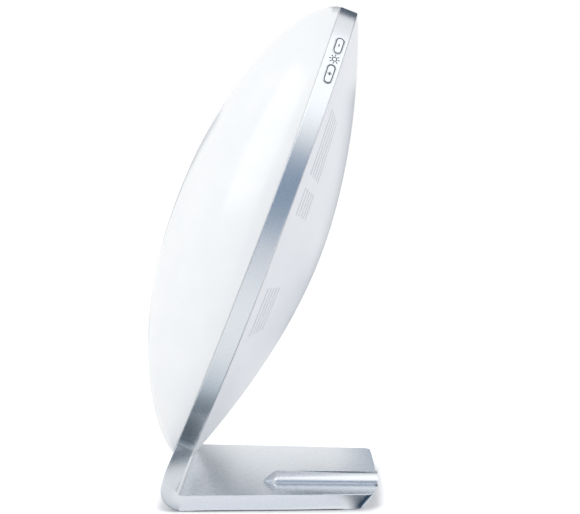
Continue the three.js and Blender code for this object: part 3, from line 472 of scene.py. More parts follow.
def pill_edge(away, extra):
    """Places on a button's outline, grown by extra, in the directions away from its middle.

    A direction that leaves by a straight side ends at the half width, and one past it on the end's half circle.
    """
    radius = BUTTON_WIDTH / 2 + extra
    straight = (BUTTON_LENGTH - BUTTON_WIDTH) / 2
    across, along = np.abs(away[:, 1]), np.abs(away[:, 0])
    beside = radius / np.maximum(across, 1e-9)
    middle = straight * along
    beyond = middle + np.sqrt(np.maximum(middle ** 2 - straight ** 2 + radius ** 2, 0))
    reach = np.where(beside * along <= straight, beside, beyond)
    return away * reach[:, None]


def rim_frame():
    """The rim: its section carried round the outline, with a hole for each button and the web behind.

    The section is the outer face, rounded edges, side faces and inner face. Round a button the cells of the
    outer and inner faces make way for rings that lead to the hole, down its wall and round the flange's pocket.
    """
    rows, patch, patch_steps, spacing, web_spacing = 14, 17, 34, 2.4, 6
    flat = HALF_RIM - RIM_EDGE_ROUND
    outer = [(w, 0) for w in np.linspace(-flat, flat, rows + 1)]
    turn = np.linspace(0, math.pi / 2, 5)[1:]
    edge = [(flat + RIM_EDGE_ROUND * math.sin(a), -RIM_EDGE_ROUND * (1 - math.cos(a))) for a in turn]
    inner = [(w, -RIM_WALL) for w in np.linspace(HALF_RIM, -HALF_RIM, rows + 1)]
    section = np.array(outer + edge + inner + [(-w, out) for w, out in edge[::-1]] + outer[:1])
    places = ((PLUS_HEIGHT, 1), (MINUS_HEIGHT, 1), (POWER_HEIGHT, -1))
    centres = [arc_at(height, side) for height, side in places]
    stops = [0, *(centre + way for centre in centres for way in (-patch, patch)), ARC[-1]]
    lines, blocks = [], []
    # Every second stretch between the stops is the patch round a button.
    for number, (start, stop) in enumerate(zip(stops, stops[1:])):
        steps = patch_steps if number % 2 else max(2, math.ceil((stop - start) / spacing))
        if number % 2:
            blocks.append((sum(map(len, lines)), steps))
        lines.append(np.linspace(start, stop, steps + 1)[:-1])
    arc = np.append(np.concatenate(lines), ARC[-1])
    w, out = section.T
    grid = on_band(arc[:, None], w, out)
    keep = np.ones((len(arc) - 1, len(section) - 1), bool)
    skin = Skin()
    inner_start = rows + len(edge) + 1
    for centre, (first, steps) in zip(centres, blocks):
        column = (first, first + steps)
        keep[slice(*column), :rows] = False
        keep[slice(*column), inner_start:inner_start + rows] = False
        place = np.stack(np.broadcast_arrays(arc[:, None] - centre, w + BUTTON_SHIFT), axis=-1)
        around = border(place, column, (0, rows))
        behind = border(place[:, inner_start:inner_start + rows + 1][:, ::-1], column, (0, rows))
        skin.add(button_hole(centre, around, behind))
    skin.add(grid, keep)
    # The web runs from power to plus and from minus to power, and keeps clear of their patches.
    clear = 2 * patch
    half, root, reach = WEB_THICKNESS / 2, -RIM_WALL / 2, -RIM_WALL - WEB_REACH
    side = np.array([(half, root), (half, reach), (-half, reach), (-half, root)])
    for start, stop in ((stops[6] + clear, stops[1] + ARC[-1] - clear), (stops[4] + clear, stops[5] - clear)):
        line = np.linspace(start, stop, math.ceil((stop - start) / web_spacing))[:, None]
        add_bar(skin, on_band(line, *side.T))
    return skin.make("rim_band", SHELL_SHARP)


def add_bar(skin, grid):
    """Adds a bar whose rows are its closed sections, with a flat end each way, and returns the skin."""
    skin.add(closed_up(grid, 1))
    for end in (grid[0], grid[-1]):
        middle = np.broadcast_to(end.mean(axis=0), (len(end) + 1, 3))
        skin.add(np.stack([closed_up(end), middle]))
    return skin


def button_hole(centre, around, behind):
    """The rings of one button hole: over its rounded lip, down its wall, and out round the flange's pocket."""
    away = around / np.linalg.norm(around, axis=1, keepdims=True)
    lip = BUTTON_HOLE_ROUND
    first = pill_edge(away, GAP + lip)
    lines = [(around * (1 - share) + first * share, 0) for share in np.linspace(0, 1, 5)]
    for turn in np.linspace(0, math.pi / 2, 4)[1:]:
        lines.append((pill_edge(away, GAP + lip * (1 - math.sin(turn))), -lip * (1 - math.cos(turn))))
    pocket = BUTTON_POCKET - RIM_WALL
    lines += [(pill_edge(away, GAP), pocket), (pill_edge(away, BUTTON_FLANGE + GAP), pocket),
              (pill_edge(away, BUTTON_FLANGE + GAP), -RIM_WALL), (behind, -RIM_WALL)]
    return np.stack([near_button(centre, closed_up(line), out) for line, out in lines])


def around_button():
    """Directions all the way round a button's middle, as the cosine and sine of equal angles."""
    turn = np.linspace(0, 2 * math.pi, 121)
    return np.stack([np.cos(turn), np.sin(turn)], axis=1)


def push_button(name, height, side):
    """A button: a low crowned cap with a rounded edge, its flange and its stem, following the rim's curve.

    Over the cap a ring is the outline times a share, and drops by the share's fourth power. Then come a quarter
    circle at the edge, and straight steps to the flange and down the stem.
    """
    centre = arc_at(height, side)
    away = around_button()
    edge = BUTTON_EDGE_ROUND
    flange_top = BUTTON_POCKET - RIM_WALL - GAP
    flange_low = flange_top - BUTTON_FLANGE_THICKNESS
    inner = pill_edge(away, -edge)
    lines = [(inner * share, BUTTON_PROUD - BUTTON_CROWN * share ** 4) for share in np.linspace(0, 1, 9)]
    for turn in np.linspace(0, math.pi / 2, 6)[1:]:
        drop = edge * (1 - math.cos(turn))
        lines.append((pill_edge(away, -edge * (1 - math.sin(turn))), BUTTON_PROUD - BUTTON_CROWN - drop))
    lines += [(pill_edge(away, 0), flange_top), (pill_edge(away, BUTTON_FLANGE), flange_top),
              (pill_edge(away, BUTTON_FLANGE), flange_low), (away * STEM_RADIUS, flange_low),
              (away * STEM_RADIUS, flange_low - STEM_LENGTH), (away * 0, flange_low - STEM_LENGTH)]
    grid = np.stack([near_button(centre, line, out) for line, out in lines])
    return Skin().add(grid).make(name, BUTTON_SHARP)


def stroke(skin, centre, line, low, high, closed=False):
    """Adds a thin raised line on the rim: a flat strip along a line of x, y round a place.

    Its sides are the line moved half the ink's width either way, square to the line's direction.
    """
    line = np.asarray(line, float)
    if closed:
        along = np.roll(line, -1, axis=0) - np.roll(line, 1, axis=0)
    else:
        along = np.gradient(line, axis=0)
    along /= np.linalg.norm(along, axis=1, keepdims=True)
    across = np.stack([-along[:, 1], along[:, 0]], axis=1) * INK_WIDTH / 2
    left, right = line + across, line - across
    sides = ((left, high), (right, high), (right, low), (left, low))
    grid = np.stack([near_button(centre, place, out) for place, out in sides], axis=1)
    if closed:
        skin.add(closed_up(closed_up(grid), 1))
    else:
        add_bar(skin, grid)


def bar(x0, y0, x1, y1, steps=6):
    """A straight line of points in equal steps from one place to another."""
    return np.stack([np.linspace(x0, x1, steps + 1), np.linspace(y0, y1, steps + 1)], axis=1)


def circle(radius, start=0, stop=360):
    """A circle, or the part of one between two angles in degrees: radius times the cosine and sine."""
    turn = np.radians(np.linspace(start, stop, 49))
    return np.stack([radius * np.cos(turn), radius * np.sin(turn)], axis=1)


def button_print(name, height, side, strokes):
    """The printed outline of a button, inset from its edge, and the sign inside it."""
    centre = arc_at(height, side)
    skin = Skin()
    outline = pill_edge(around_button()[:-1], -INK_INSET)
    stroke(skin, centre, outline, *ON_CAP, closed=True)
    for line in strokes:
        stroke(skin, centre, line, ON_CAP[0] + SIGN_RAISE, ON_CAP[1])
    return skin.make(name, BUTTON_SHARP)


def sun_print():
    """The printed sun between the two dimmer buttons: a ring and eight rays."""
    centre = (arc_at(MINUS_HEIGHT, 1) + arc_at(PLUS_HEIGHT, 1)) / 2
    skin = Skin()
    stroke(skin, centre, circle(SUN_RADIUS)[:-1], *ON_RIM, closed=True)
    for turn in np.radians(np.arange(0, 360, 45)):
        x, y = math.cos(turn), math.sin(turn)
        ray = bar(SUN_RAY_START * x, SUN_RAY_START * y, SUN_RAY_END * x, SUN_RAY_END * y, 2)
        stroke(skin, centre, ray, *ON_RIM)
    return skin.make("sun_print", BUTTON_SHARP)


# The stand

def foot_half_width(y):
    """Half the foot's width at a depth y: it goes straight from the neck's to the foot's rear half width."""
    share = np.clip((y - BEND_Y) / (FOOT_REAR - BEND_Y), 0, 1)
    return NECK_HALF_WIDTH + (FOOT_REAR_HALF_WIDTH - NECK_HALF_WIDTH) * share


def find_fillet():
    """Heights at which the neck's fillet starts, and meets the oval: an arc that touches both.

    The arc's middle is one radius outside the neck's side. It is moved up, by halving the range, until the
    oval's nearest point is one radius away.
    """
    u, v = oval(np.linspace(-math.pi / 2, 0, 2001))
    v = v + HALF_LENGTH
    low, high = BEND_START, float(np.interp(NECK_HALF_WIDTH, u, v))
    for _ in range(50):
        middle = (low + high) / 2
        apart = np.hypot(u - NECK_HALF_WIDTH - NECK_FILLET, v - middle)
        low, high = (middle, high) if apart.min() > NECK_FILLET else (low, middle)
    return low, float(v[apart.argmin()])


FILLET_START, FILLET_END = find_fillet()


def neck_half_width(v):
    """Half the neck's width at height v: straight, then wider by the fillet's arc.

    The arc adds radius - sqrt(radius**2 - rise**2) at a rise above its start.
    """
    rise = np.clip(v - FILLET_START, 0, NECK_FILLET)
    return NECK_HALF_WIDTH + NECK_FILLET - np.sqrt(NECK_FILLET ** 2 - rise ** 2)


def outline_of_rear(q, z, inset):
    """The foot's rear outline at height z, inset by a wall, from side to side as q goes from -1 to 1.

    The middle part is a bowed edge and each end part a quarter circle. Both move in towards the table.
    """
    share = (z - FOOT_CLEARANCE) / FOOT_THICKNESS
    rear = FOOT_REAR - REAR_UNDERCUT * (1 - share)
    corner = REAR_CORNER_LOW + (REAR_CORNER - REAR_CORNER_LOW) * share
    side = foot_half_width(rear) - corner
    flat_part = 0.72
    flat = np.clip(np.abs(q) / flat_part, 0, 1)
    turn = np.clip((np.abs(q) - flat_part) / (1 - flat_part), 0, 1) * math.pi / 2
    x = np.where(turn > 0, side + (corner - inset) * np.sin(turn), side * flat)
    y = np.where(turn > 0, rear - REAR_BULGE - corner + (corner - inset) * np.cos(turn),
                 rear - inset - REAR_BULGE * flat ** 2)
    return np.sign(q) * x, y


def stand_body(name, wall, neck_steps, bend_steps, foot_steps, across, edge_steps, rear=None):
    """The bent stand as one closed skin, inset by a wall: rings round the neck, bend and foot, and two ends.

    A ring is the upper face from q = 1 to -1, a side, the lower face back, and the other side. Across the neck
    the rings bend to meet the oval, and across the foot to meet its rear outline.
    """
    crowding = 0.35
    turn = np.linspace(0, math.pi / 2, edge_steps + 1)
    turn = np.concatenate([turn, turn[::-1]])
    inset, drop = 1 - np.sin(turn), 1 - np.cos(turn)
    face = np.repeat([-1.0, 1.0], edge_steps + 1)
    part = np.linspace(-1, 1, across + 1)
    q_face = np.sin(part * math.pi / 2) * crowding + part * (1 - crowding)
    q_side = np.ones(len(inset) - 2)
    q = np.concatenate([q_face[::-1], -q_side, q_face, q_side])
    k = np.concatenate([np.zeros(across + 1, int), np.arange(1, len(inset) - 1),
                        np.full(across + 1, len(inset) - 1), np.arange(1, len(inset) - 1)[::-1]])
    top_u = NECK_HALF_WIDTH + NECK_FILLET - math.sqrt(NECK_FILLET ** 2 - (FILLET_END - FILLET_START) ** 2)

    def edge(k, radius=STAND_EDGE_ROUND):
        """How far a side's point k is in from the side face and the flat face: a quarter circle at each end."""
        return wall + radius * inset[k], wall + radius * drop[k]

    def neck(share, q, k):
        """The neck, from the bend at share 0 to just under the oval at 1: its depth goes evenly to the rim's."""
        over = UNDER_RIM if wall == 0 else RIM_WALL
        half_u, half_v = RIM_HALF_WIDTH - over, HALF_LENGTH - over
        reach = np.abs(q * top_u) / half_u
        v_top = HALF_LENGTH - half_v * (1 - reach ** OVAL_POWER) ** (1 / OVAL_POWER)
        v_edge = BEND_START + (FILLET_END - BEND_START) * share
        v = BEND_START + (v_top - BEND_START) * share
        rise = np.clip((v - BEND_START) / -BEND_START, 0, 1)
        half = HALF_FOOT + (HALF_RIM - HALF_FOOT) * rise
        side, depth = edge(k, STAND_EDGE_ROUND + (RIM_EDGE_ROUND - STAND_EDGE_ROUND) * share)
        return in_lamp(q * (neck_half_width(v_edge) - side), v, face[k] * (half - depth))

    def bend(share, q, k):
        """The bend: the section carried round an arc from the neck's slope, at share 0, to level, at 1."""
        turn = math.pi - LEAN + (math.pi / 2 + LEAN) * share
        side, depth = edge(k)
        out = BEND_RADIUS + face[k] * (HALF_FOOT - depth)
        x = q * (NECK_HALF_WIDTH - side) + 0 * share
        return np.stack([x, BEND_Y + out * np.cos(turn), BEND_Z + out * np.sin(turn)], axis=-1)

    def foot(share, q, k):
        """The foot: straight lines back to the rear outline, which the rings take up over the last part."""
        side, depth = edge(k)
        z = FOOT_MIDDLE - face[k] * (HALF_FOOT - depth)
        x_end, y_end = outline_of_rear(q, z, side)
        if rear is not None:
            y_end = np.minimum(y_end, rear)
        y = BEND_Y + (y_end - BEND_Y) * share
        straight = q * (foot_half_width(y) - side)
        straight_part = 0.6
        near_end = np.clip((share - straight_part) / (1 - straight_part), 0, 1) ** 2
        return np.stack(np.broadcast_arrays(straight * (1 - near_end) + x_end * near_end, y, z), axis=-1)

    down = np.linspace(1, 0, neck_steps + 1)[:, None]
    round_bend = np.linspace(0, 1, bend_steps + 1)[1:, None]
    back = np.linspace(0, 1, foot_steps + 1)[1:, None]
    rings = np.concatenate([neck(down, q, k), bend(round_bend, q, k), foot(back, q, k)])
    skin = Skin().add(closed_up(rings, 1))
    level, last = np.arange(len(inset))[:, None], np.array([[1.0]])
    skin.add(neck(last, q_face[None, ::-1], level)).add(foot(last, q_face[None, ::-1], level))
    return skin.make(name)


def prism(name, outline, low, high, along_y=False):
    """A straight solid of a convex outline: x, z carried along Y, or x, y carried up."""
    outline = np.asarray(outline, float)

    def at(place):
        """The outline at a place on its way."""
        level = np.full(len(outline), float(place))
        parts = (outline[:, 0], level, outline[:, 1]) if along_y else (outline[:, 0], outline[:, 1], level)
        return np.stack(parts, axis=-1)

    return add_bar(Skin(), np.stack([at(low), at(high)])).make(name)


def inlet_outline(extra):
    """The mains inlet's outline, grown by extra: two half circles on a short straight."""
    turn = np.linspace(0, 2 * math.pi, 65)[:-1]
    radius = INLET_RADIUS + extra
    x = RIB_OFFSET + np.where(np.cos(turn) > 0, 1, -1) * INLET_HALF_PITCH + radius * np.cos(turn)
    return np.stack([x, FOOT_TOP + INLET_LIFT + radius * np.sin(turn)], axis=1)


def rib():
    """The rib: a half circle on a shallow foot carried along Y, growing from a pointed nose.

    Along the nose the radius is the full one times 1 - (1 - share)**power, and the rear edge is a quarter circle.
    """
    start = HEAD_Y + RIB_NOSE_START
    share = np.linspace(0, 1, 41) ** 1.5
    nose = RIB_RADIUS * (1 - (1 - share) ** RIB_NOSE_POWER)
    lip, straight = RIB_EDGE_ROUND, 40
    turn = np.linspace(0, math.pi / 2, 5)
    end = RIB_END - lip
    y = np.concatenate([start + RIB_NOSE_LENGTH * share, [end - straight], end + lip * np.sin(turn)])
    radius = np.concatenate([nose, [RIB_RADIUS], RIB_RADIUS - lip * (1 - np.cos(turn))])[:, None]
    around = np.linspace(0, math.pi, 49)[None, :]
    x, z = RIB_OFFSET + radius * np.cos(around), FOOT_TOP + radius * np.sin(around)
    low = np.full_like(radius, FOOT_TOP - STAND_WALL / 2)
    x = np.concatenate([x, RIB_OFFSET - radius, RIB_OFFSET + radius], axis=1)
    z = np.concatenate([z, low, low], axis=1)
    grid = np.stack(np.broadcast_arrays(x, y[:, None], z), axis=-1)
    return add_bar(Skin(), grid).make("rib")


def stand():
    """The stand: the bent body and the rib joined, hollowed, and opened below and at the inlet."""
    body = stand_body("stand", wall=0, neck_steps=30, bend_steps=40, foot_steps=70, across=60, edge_steps=6)
    hollow = stand_body("hollow", wall=STAND_WALL, neck_steps=12, bend_steps=16, foot_steps=20, across=16,
                        edge_steps=1, rear=FOOT_REAR - REAR_UNDERCUT - STAND_WALL)
    past = 1
    seat = RIB_END - INLET_SETBACK - INLET_SNOUT
    bore_start = HEAD_Y + RIB_NOSE_START + RIB_NOSE_LENGTH + STAND_WALL
    bore = prism("bore", inlet_outline(INLET_FLANGE + GAP), bore_start, seat, along_y=True)
    opening = prism("opening", inlet_outline(GAP), seat - past, RIB_END + past, along_y=True)
    front = BEND_Y + BASE_PLATE_FRONT
    rear = FOOT_REAR - BASE_PLATE_SETBACK
    front_x, rear_x = foot_half_width(front) - STAND_WALL, foot_half_width(rear) - STAND_WALL
    plan = [(-front_x, front), (front_x, front), (rear_x, rear), (-rear_x, rear)]
    below = prism("below", plan, -past, FOOT_CLEARANCE + GAP + BASE_PLATE_THICKNESS)
    carved(body, [rib()], "UNION")
    return carved(body, [hollow, bore, opening, below])


# Finishes

class Field:
    """A shader socket that takes part in sums: every operator adds one Math node to its finish."""

    def __init__(self, finish, socket):
        self.finish = finish
        self.socket = socket

    def calc(self, operation, first, second=0.0):
        """The result of a Math operation on one or two values."""
        return self.finish.node("ShaderNodeMath", {"operation": operation}, {0: first, 1: second})

    def __add__(self, other):
        return self.calc("ADD", self, other)

    def __sub__(self, other):
        return self.calc("SUBTRACT", self, other)

    def __mul__(self, other):
        return self.calc("MULTIPLY", self, other)

    def __rsub__(self, other):
        return self.calc("SUBTRACT", other, self)

    __radd__ = __add__
    __rmul__ = __mul__

    def size(self):
        """The value without its sign."""
        return self.calc("ABSOLUTE", self)

    def most(self, other):
        """The larger of two values."""
        return self.calc("MAXIMUM", self, other)

    def least(self, other):
        """The smaller of two values."""
        return self.calc("MINIMUM", self, other)

    def ease(self, low, high):
        """0 below low, 1 above high, and smooth between them."""
        return self.finish.node("ShaderNodeMapRange", {"interpolation_type": "SMOOTHSTEP"},
                                {0: self, 1: low, 2: high, 3: 0.0, 4: 1.0})


class Finish:
    """A material, or the world: its nodes, its shader, and the object coordinates that its patterns read."""

    def __init__(self, name, data=None, shader="Principled BSDF", **constants):
        self.material = data or bpy.data.materials.new(name)
        self.material.use_nodes = True
        self.tree = self.material.node_tree
        self.shader = self.tree.nodes[shader]
        self.place = self.node("ShaderNodeTexCoord", output="Object")
        for socket, value in constants.items():
            self.shader.inputs[socket.replace("_", " ")].default_value = value

    def node(self, kind, settings=None, values=None, output=0):
        """Adds a node: its settings first, then the values or links of its sockets."""
        made = self.tree.nodes.new(kind)
        for key, setting in (settings or {}).items():
            setattr(made, key, setting)
        for key, value in (values or {}).items():
            if isinstance(value, Field):
                self.tree.links.new(value.socket, made.inputs[key])
            else:
                made.inputs[key].default_value = value
        return Field(self, made.outputs[output])

    def noise(self, size, detail=2.0, stretch=None):
        """Soft noise from 0 to 1 with lumps of about a size in mm, stretched along axes where asked."""
        place = self.place
        if stretch:
            place = self.node("ShaderNodeVectorMath", {"operation": "MULTIPLY"}, {0: place, 1: stretch})
        return self.node("ShaderNodeTexNoise", {"normalize": True},
                         {"Vector": place, "Scale": 1000 / size, "Detail": detail, "Roughness": 0.5})

    def ray(self, kind):
        """1 for a ray of a kind, and 0 for the rest."""
        return self.node("ShaderNodeLightPath", output=kind)

    def blend(self, factor, first, second):
        """A colour that goes from first to second."""
        return self.node("ShaderNodeMix", {"data_type": "RGBA"}, {0: factor, 6: first, 7: second}, 2)

    def tint(self, factor, first, second):
        """Base colour that goes from first to second, each given as red, green and blue."""
        return self.feed(Base_Color=self.blend(factor, colour(*first), colour(*second)))

    def feed(self, **links):
        """Links fields to the shader's sockets, which are named with _ for a space."""
        for socket, field in links.items():
            self.tree.links.new(field.socket, self.shader.inputs[socket.replace("_", " ")])
        return self

    def grain(self, height, strength, depth):
        """Bump from a height field from 0 to 1, with its depth in mm."""
        values = {"Height": height, "Strength": strength, "Distance": depth * MM}
        return self.feed(Normal=self.node("ShaderNodeBump", None, values))


def colour(red, green, blue):
    """A colour as a shader socket holds it, in linear light."""
    return (red, green, blue, 1.0)


def opal_finish():
    """Glossy opal acrylic: clouded a little in the wall, with the faint ripple of a blown sheet."""
    finish = Finish("opal_acrylic", IOR=1.49, Coat_Roughness=0.05)
    cloud = finish.noise(60, 3).ease(0.3, 0.7)
    finish.tint(cloud, (0.905, 0.92, 0.935), (0.93, 0.94, 0.945))
    smear = finish.noise(35, 4).ease(0.35, 0.75)
    finish.feed(Roughness=smear * 0.05 + 0.16)
    return finish.grain(finish.noise(28, 1), 0.25, 0.05)


def silver_finish():
    """Satin silver over a fine blasted grain, a little uneven in tone and sheen."""
    finish = Finish("satin_silver", Metallic=1.0)
    mottle = finish.noise(0.5, 2).ease(0.3, 0.7)
    drift = finish.noise(45, 2).ease(0.3, 0.7)
    tone = mottle * 0.35 + drift * 0.65
    finish.tint(tone, (0.735, 0.768, 0.808), (0.765, 0.792, 0.826))
    finish.feed(Roughness=finish.noise(9, 3) * 0.03 + mottle * 0.02 + 0.25)
    return finish.grain(finish.noise(0.35, 2), 0.05, 0.01)


def shell_finish():
    """Soft white moulded plastic with a fine spark-eroded texture."""
    finish = Finish("soft_white_plastic", IOR=1.5)
    drift = finish.noise(70, 2).ease(0.3, 0.7)
    finish.tint(drift, (0.845, 0.86, 0.895), (0.865, 0.88, 0.91))
    pits = finish.noise(0.45, 2)
    finish.feed(Roughness=finish.noise(20, 3) * 0.08 + 0.3)
    return finish.grain(pits, 0.15, 0.02)


def ink_finish():
    """Dark grey printed ink, thin in places."""
    finish = Finish("sign_ink", IOR=1.45)
    thin = finish.noise(0.6, 3).ease(0.45, 0.8)
    finish.tint(thin, (0.035, 0.04, 0.05), (0.07, 0.075, 0.085))
    return finish.feed(Roughness=finish.noise(1.5, 2) * 0.15 + 0.4)


def mottled(name, first, second, size, rough):
    """A moulded or coated finish: two tones in a fine noise, an uneven sheen and a shallow grain."""
    finish = Finish(name)
    tone = finish.noise(size, 3).ease(0.3, 0.7)
    finish.tint(tone, first, second)
    finish.feed(Roughness=finish.noise(size * 4, 2) * 0.12 + (rough - 0.06))
    return finish.grain(finish.noise(size * 0.8, 2), 0.2, 0.02)


def drawn(name, first, second, rough, stretch):
    """Rolled or turned metal: fine lines drawn out along one direction."""
    finish = Finish(name, Metallic=1.0)
    lines = finish.noise(0.5, 3, stretch)
    finish.tint(lines.ease(0.3, 0.7), first, second)
    finish.feed(Roughness=lines * 0.14 + (rough - 0.07))
    return finish.grain(lines, 0.2, 0.01)


def board_finish():
    """Green circuit board: darker tracks under the mask, on a fine weave."""
    finish = Finish("circuit_board", IOR=1.5)
    track = finish.noise(3, 0, (1, 1, 0.25)).ease(0.47, 0.53)
    finish.tint(track, (0.03, 0.16, 0.08), (0.05, 0.25, 0.12))
    finish.feed(Roughness=finish.noise(2, 2) * 0.15 + 0.3)
    return finish.grain(finish.noise(0.4, 1), 0.2, 0.02)


def tube_finish():
    """White phosphor behind glass: chalky and nearly even."""
    finish = Finish("phosphor_glass", IOR=1.5, Coat_Weight=1.0, Coat_Roughness=0.04)
    chalk = finish.noise(4, 4).ease(0.3, 0.7)
    finish.tint(chalk, (0.90, 0.90, 0.87), (0.95, 0.95, 0.925))
    return finish.feed(Roughness=chalk * 0.08 + 0.4)


finishes = {
    "opal_plastic": opal_finish(),
    "silver_metal": silver_finish(),
    "white_plastic": shell_finish(),
    "mirror_sheet": drawn("bright_rolled_sheet", (0.84, 0.86, 0.88), (0.91, 0.92, 0.93), 0.16, (1, 1, 0.04)),
    "steel": drawn("zinc_plated_steel", (0.5, 0.52, 0.54), (0.62, 0.63, 0.64), 0.34, (0.2, 1, 1)),
    "coated_sheet": mottled("grey_coated_sheet", (0.36, 0.375, 0.39), (0.4, 0.415, 0.43), 0.8, 0.5),
    "phosphor_glass": tube_finish(),
    "board": board_finish(),
    "black_plastic": mottled("fine_matt_black", (0.022, 0.022, 0.025), (0.034, 0.034, 0.038), 0.5, 0.55),
    "lead_sheath": mottled("lead_sheath", (0.03, 0.03, 0.032), (0.045, 0.045, 0.047), 1.2, 0.5),
    "brass": drawn("turned_brass", (0.7, 0.56, 0.28), (0.82, 0.68, 0.38), 0.28, (1, 0.1, 1)),
    "rubber": mottled("soft_rubber", (0.024, 0.024, 0.024), (0.036, 0.036, 0.036), 0.9, 0.75),
}
ink = ink_finish()


# Dressing the lamp

def dress(piece, body, slot, *nodes, finish=None):
    """Gives a piece its finish, ties it to a body, and lets it stand for the nodes that it replaces."""
    piece.data.materials.clear()
    piece.data.materials.append((finish or finishes[slot]).material)
    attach(piece, body)
    if nodes:
        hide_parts(*nodes)


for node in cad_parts.values():
    node_finish = finishes[node.data.materials[0].name.split(".")[0]]
    for place in node.material_slots:
        place.material = node_finish.material

dress(front_diffuser(), "housing", "opal_plastic", "front_diffuser")
dress(rear_shell(), "housing", "white_plastic", "rear_shell")
dress(rim_frame(), "housing", "silver_metal", "rim_frame")
dress(stand(), "housing", "silver_metal", "stand_shell")
dress(push_button("minus_cap", MINUS_HEIGHT, 1), "minus", "silver_metal", "minus_button")
dress(push_button("plus_cap", PLUS_HEIGHT, 1), "plus", "silver_metal", "plus_button")
dress(push_button("power_cap", POWER_HEIGHT, -1), "power", "silver_metal", "power_button")
minus_sign = [bar(-MINUS_REACH, 0, MINUS_REACH, 0)]
plus_sign = [bar(-PLUS_REACH, 0, PLUS_REACH, 0), bar(0, -PLUS_REACH, 0, PLUS_REACH)]
power_sign = [circle(*POWER_RING), bar(0, POWER_MARK[0], 0, POWER_MARK[1])]
dress(button_print("minus_print", MINUS_HEIGHT, 1, minus_sign), "minus", "silver_metal", finish=ink)
dress(button_print("plus_print", PLUS_HEIGHT, 1, plus_sign), "plus", "silver_metal", finish=ink)
dress(button_print("power_print", POWER_HEIGHT, -1, power_sign), "power", "silver_metal", finish=ink)
dress(sun_print(), "housing", "silver_metal", finish=ink)


# Studio

SKY_LIGHT = 0.66
FLOOR_REACH = 6000 * MM


def aimed(item, place, target):
    """Puts a camera, lamp or card at a place, in mm, with its front towards a target."""
    item.location = Vector(place) * MM
    item.rotation_euler = (Vector(target) - Vector(place)).to_track_quat("-Z", "Y").to_euler()
    link(item)
    return item


def lamp(name, place, target, width, height, power):
    """A soft rectangular lamp with its sides in mm and its power in watts."""
    light = bpy.data.lights.new(name, "AREA")
    light.shape = "RECTANGLE"
    light.size, light.size_y = width * MM, height * MM
    light.energy = power
    aimed(bpy.data.objects.new(name, light), place, target)


def card(name, middle, across, along, dark, fade, start=-1):
    """A studio card that shows only in reflections, at middle + or - across and + or - along, in mm.

    It is dark in the middle and fades to white over the last share, fade, of along. It starts at start * along.
    """
    across, along = np.array(across) * MM, np.array(along) * MM
    mesh = bpy.data.meshes.new(name)
    corners = [start * along - across, start * along + across, along + across, along - across]
    mesh.from_pydata([tuple(corner) for corner in corners], [], [(0, 1, 2, 3)])
    item = bpy.data.objects.new(name, mesh)
    item.location = Vector(middle) * MM
    link(item)
    paint = Finish(name, Roughness=1.0, Base_Color=black, Specular_IOR_Level=0.0, Emission_Strength=1.0)
    towards_end = tuple(along / along.dot(along))
    values = {0: paint.place, 1: towards_end}
    far = paint.node("ShaderNodeVectorMath", {"operation": "DOT_PRODUCT"}, values, "Value")
    paint.feed(Emission_Color=paint.blend(far.size().ease(1 - fade, 1.0), dark, white))
    mesh.materials.append(paint.material)
    item.visible_camera = item.visible_diffuse = item.visible_shadow = item.visible_transmission = False


black, white, slate = colour(0, 0, 0), colour(1, 1, 1), colour(0.05, 0.09, 0.13)

camera_data = bpy.data.cameras.new("camera")
camera_data.lens = 75.48
camera_data.sensor_width = 36
camera = aimed(bpy.data.objects.new("camera", camera_data), (1496.7, 73.93, 507.0), (0, 32, 293.1))
bpy.context.scene.camera = camera

lamp("key", (900, -1500, 1700), (0, 0, 300), 1800, 1800, 16.5)
lamp("top_right", (1200, 600, 2300), (0, 0, 300), 2800, 2400, 6.5)
lamp("rear", (600, 2200, 900), (0, 0, 300), 1400, 1400, 8)
card("side_card", (1700, 60, 560), (0, 1300, 0), (45, 0, 448), colour(0.2, 0.29, 0.42), 0.32)
card("top_card", (-900, 450, 1100), (120, 390, 0), (0, 0, 430), colour(0.02, 0.05, 0.09), 0.2)
card("neck_card", (178, -110, 64), (0, 60, 0), (0, 0, -34), slate, 0.5, 0)
card("foot_card", (-200, -115, 158), (0, 77, 64), (0, 80, -97), slate, 0.7)
card("foot_end_card", (-200, 200, 90), (0, 0, 90), (0, 120, 0), colour(0.42, 0.48, 0.56), 0.7)
card("foot_edge_card", (-200, 70, 125), (0, 130, 0), (0, 0, -35), colour(0.45, 0.5, 0.57), 0.8, -0.3)
card("side_floor_card", (150, 1, 1), (0, 99, 0), (45, 0, 0), colour(0.88, 0.9, 0.95), 0.05)
card("rear_card", (220, 210, 1.5), (130, 0, 0), (0, 110, 0), colour(0.03, 0.06, 0.1), 0.2)
card("rear_edge_card", (-200, 125, 310), (0, 62, 186), (0, 80, -26), slate, 0.4)
card("dome_edge_card", (-190, -150, 290), (0, 25, 220), (0, 50, 0), colour(0.35, 0.4, 0.45), 0.6)

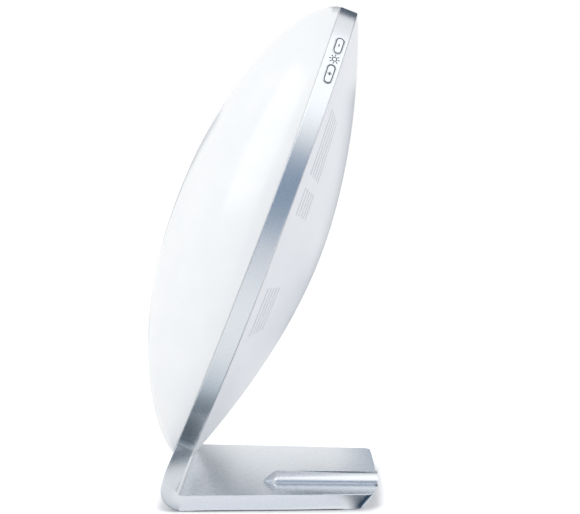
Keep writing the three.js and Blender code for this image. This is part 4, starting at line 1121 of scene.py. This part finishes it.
# The sky is white where it is seen, mirrored or seen through, and lights the lamp at SKY_LIGHT of that.
world = bpy.data.worlds.new("studio")
bpy.context.scene.world = world
sky = Finish("studio", data=world, shader="Background")
seen_or_mirrored = sky.ray("Is Camera Ray").most(sky.ray("Is Glossy Ray"))
seen_or_reflected = seen_or_mirrored.most(sky.ray("Is Transmission Ray"))
sky.feed(Color=sky.blend(seen_or_reflected, colour(0.975, 0.99, 1.01), white))
sky.feed(Strength=seen_or_reflected * (1 - SKY_LIGHT) + SKY_LIGHT)

floor_mesh = bpy.data.meshes.new("floor")
floor_corners = [(x * FLOOR_REACH, y * FLOOR_REACH, 0) for x, y in ((-1, -1), (1, -1), (1, 1), (-1, 1))]
floor_mesh.from_pydata(floor_corners, [], [(0, 1, 2, 3)])
floor = bpy.data.objects.new("floor", floor_mesh)
link(floor)

# Seen by the camera, the floor is pale paper, made white by a glow but for the narrow shadow where the lamp
# touches it. That shadow is partly a painted shadow: the glow fades with ambient occlusion near the lamp. In a
# mirror image
# the floor is a painted reflection: black but for a glow that is brighter the lower the angle that it is seen at.
# Round the place beside_neck it stays dark up to a low angle, and turns bright within a few degrees, which paints
# a dark reflection into the metal beside the neck.
paper = Finish("pale_paper", Roughness=0.9, Emission_Strength=1)
fibre = paper.noise(3, 3).ease(0.3, 0.7)
openness = paper.node("ShaderNodeAmbientOcclusion", None, {"Distance": 25 * MM}, "AO")
slant = paper.node("ShaderNodeLayerWeight", None, {"Blend": 0.5}, "Facing")
beside_neck = (180 * MM, -115 * MM, 0)
places = {0: paper.place, 1: beside_neck}
from_neck = paper.node("ShaderNodeVectorMath", {"operation": "DISTANCE"}, places, "Value")
# Painted reflection: how bright the floor's glow is in a mirror image, by slant and by distance from beside_neck.
near_shine = (slant + 0.03).least(0.22).most(slant.ease(0.5, 0.62))
far_shine = slant * 2.05 + 0.03
shine = (near_shine + from_neck.ease(60 * MM, 130 * MM) * (far_shine - near_shine)).least(1)
seen, mirrored = paper.ray("Is Camera Ray"), paper.ray("Is Glossy Ray")
sheet = paper.blend(fibre, colour(0.86, 0.86, 0.87), colour(0.88, 0.88, 0.885))
painted_reflection_glow = paper.blend(shine, black, paper.blend(shine, colour(0.72, 1, 1.25), white))
# Painted shadow: the paper's glow for the camera fades where ambient occlusion finds the lamp close.
glow_with_painted_shadow = paper.blend(openness.ease(0.5, 1), black, colour(0.5, 0.5, 0.5))
paper.feed(Base_Color=paper.blend(mirrored, sheet, black))
paper.feed(Emission_Color=paper.blend(seen, paper.blend(mirrored, black, painted_reflection_glow), glow_with_painted_shadow))
floor_mesh.materials.append(paper.material)

bpy.context.scene.view_settings.view_transform = "Standard"
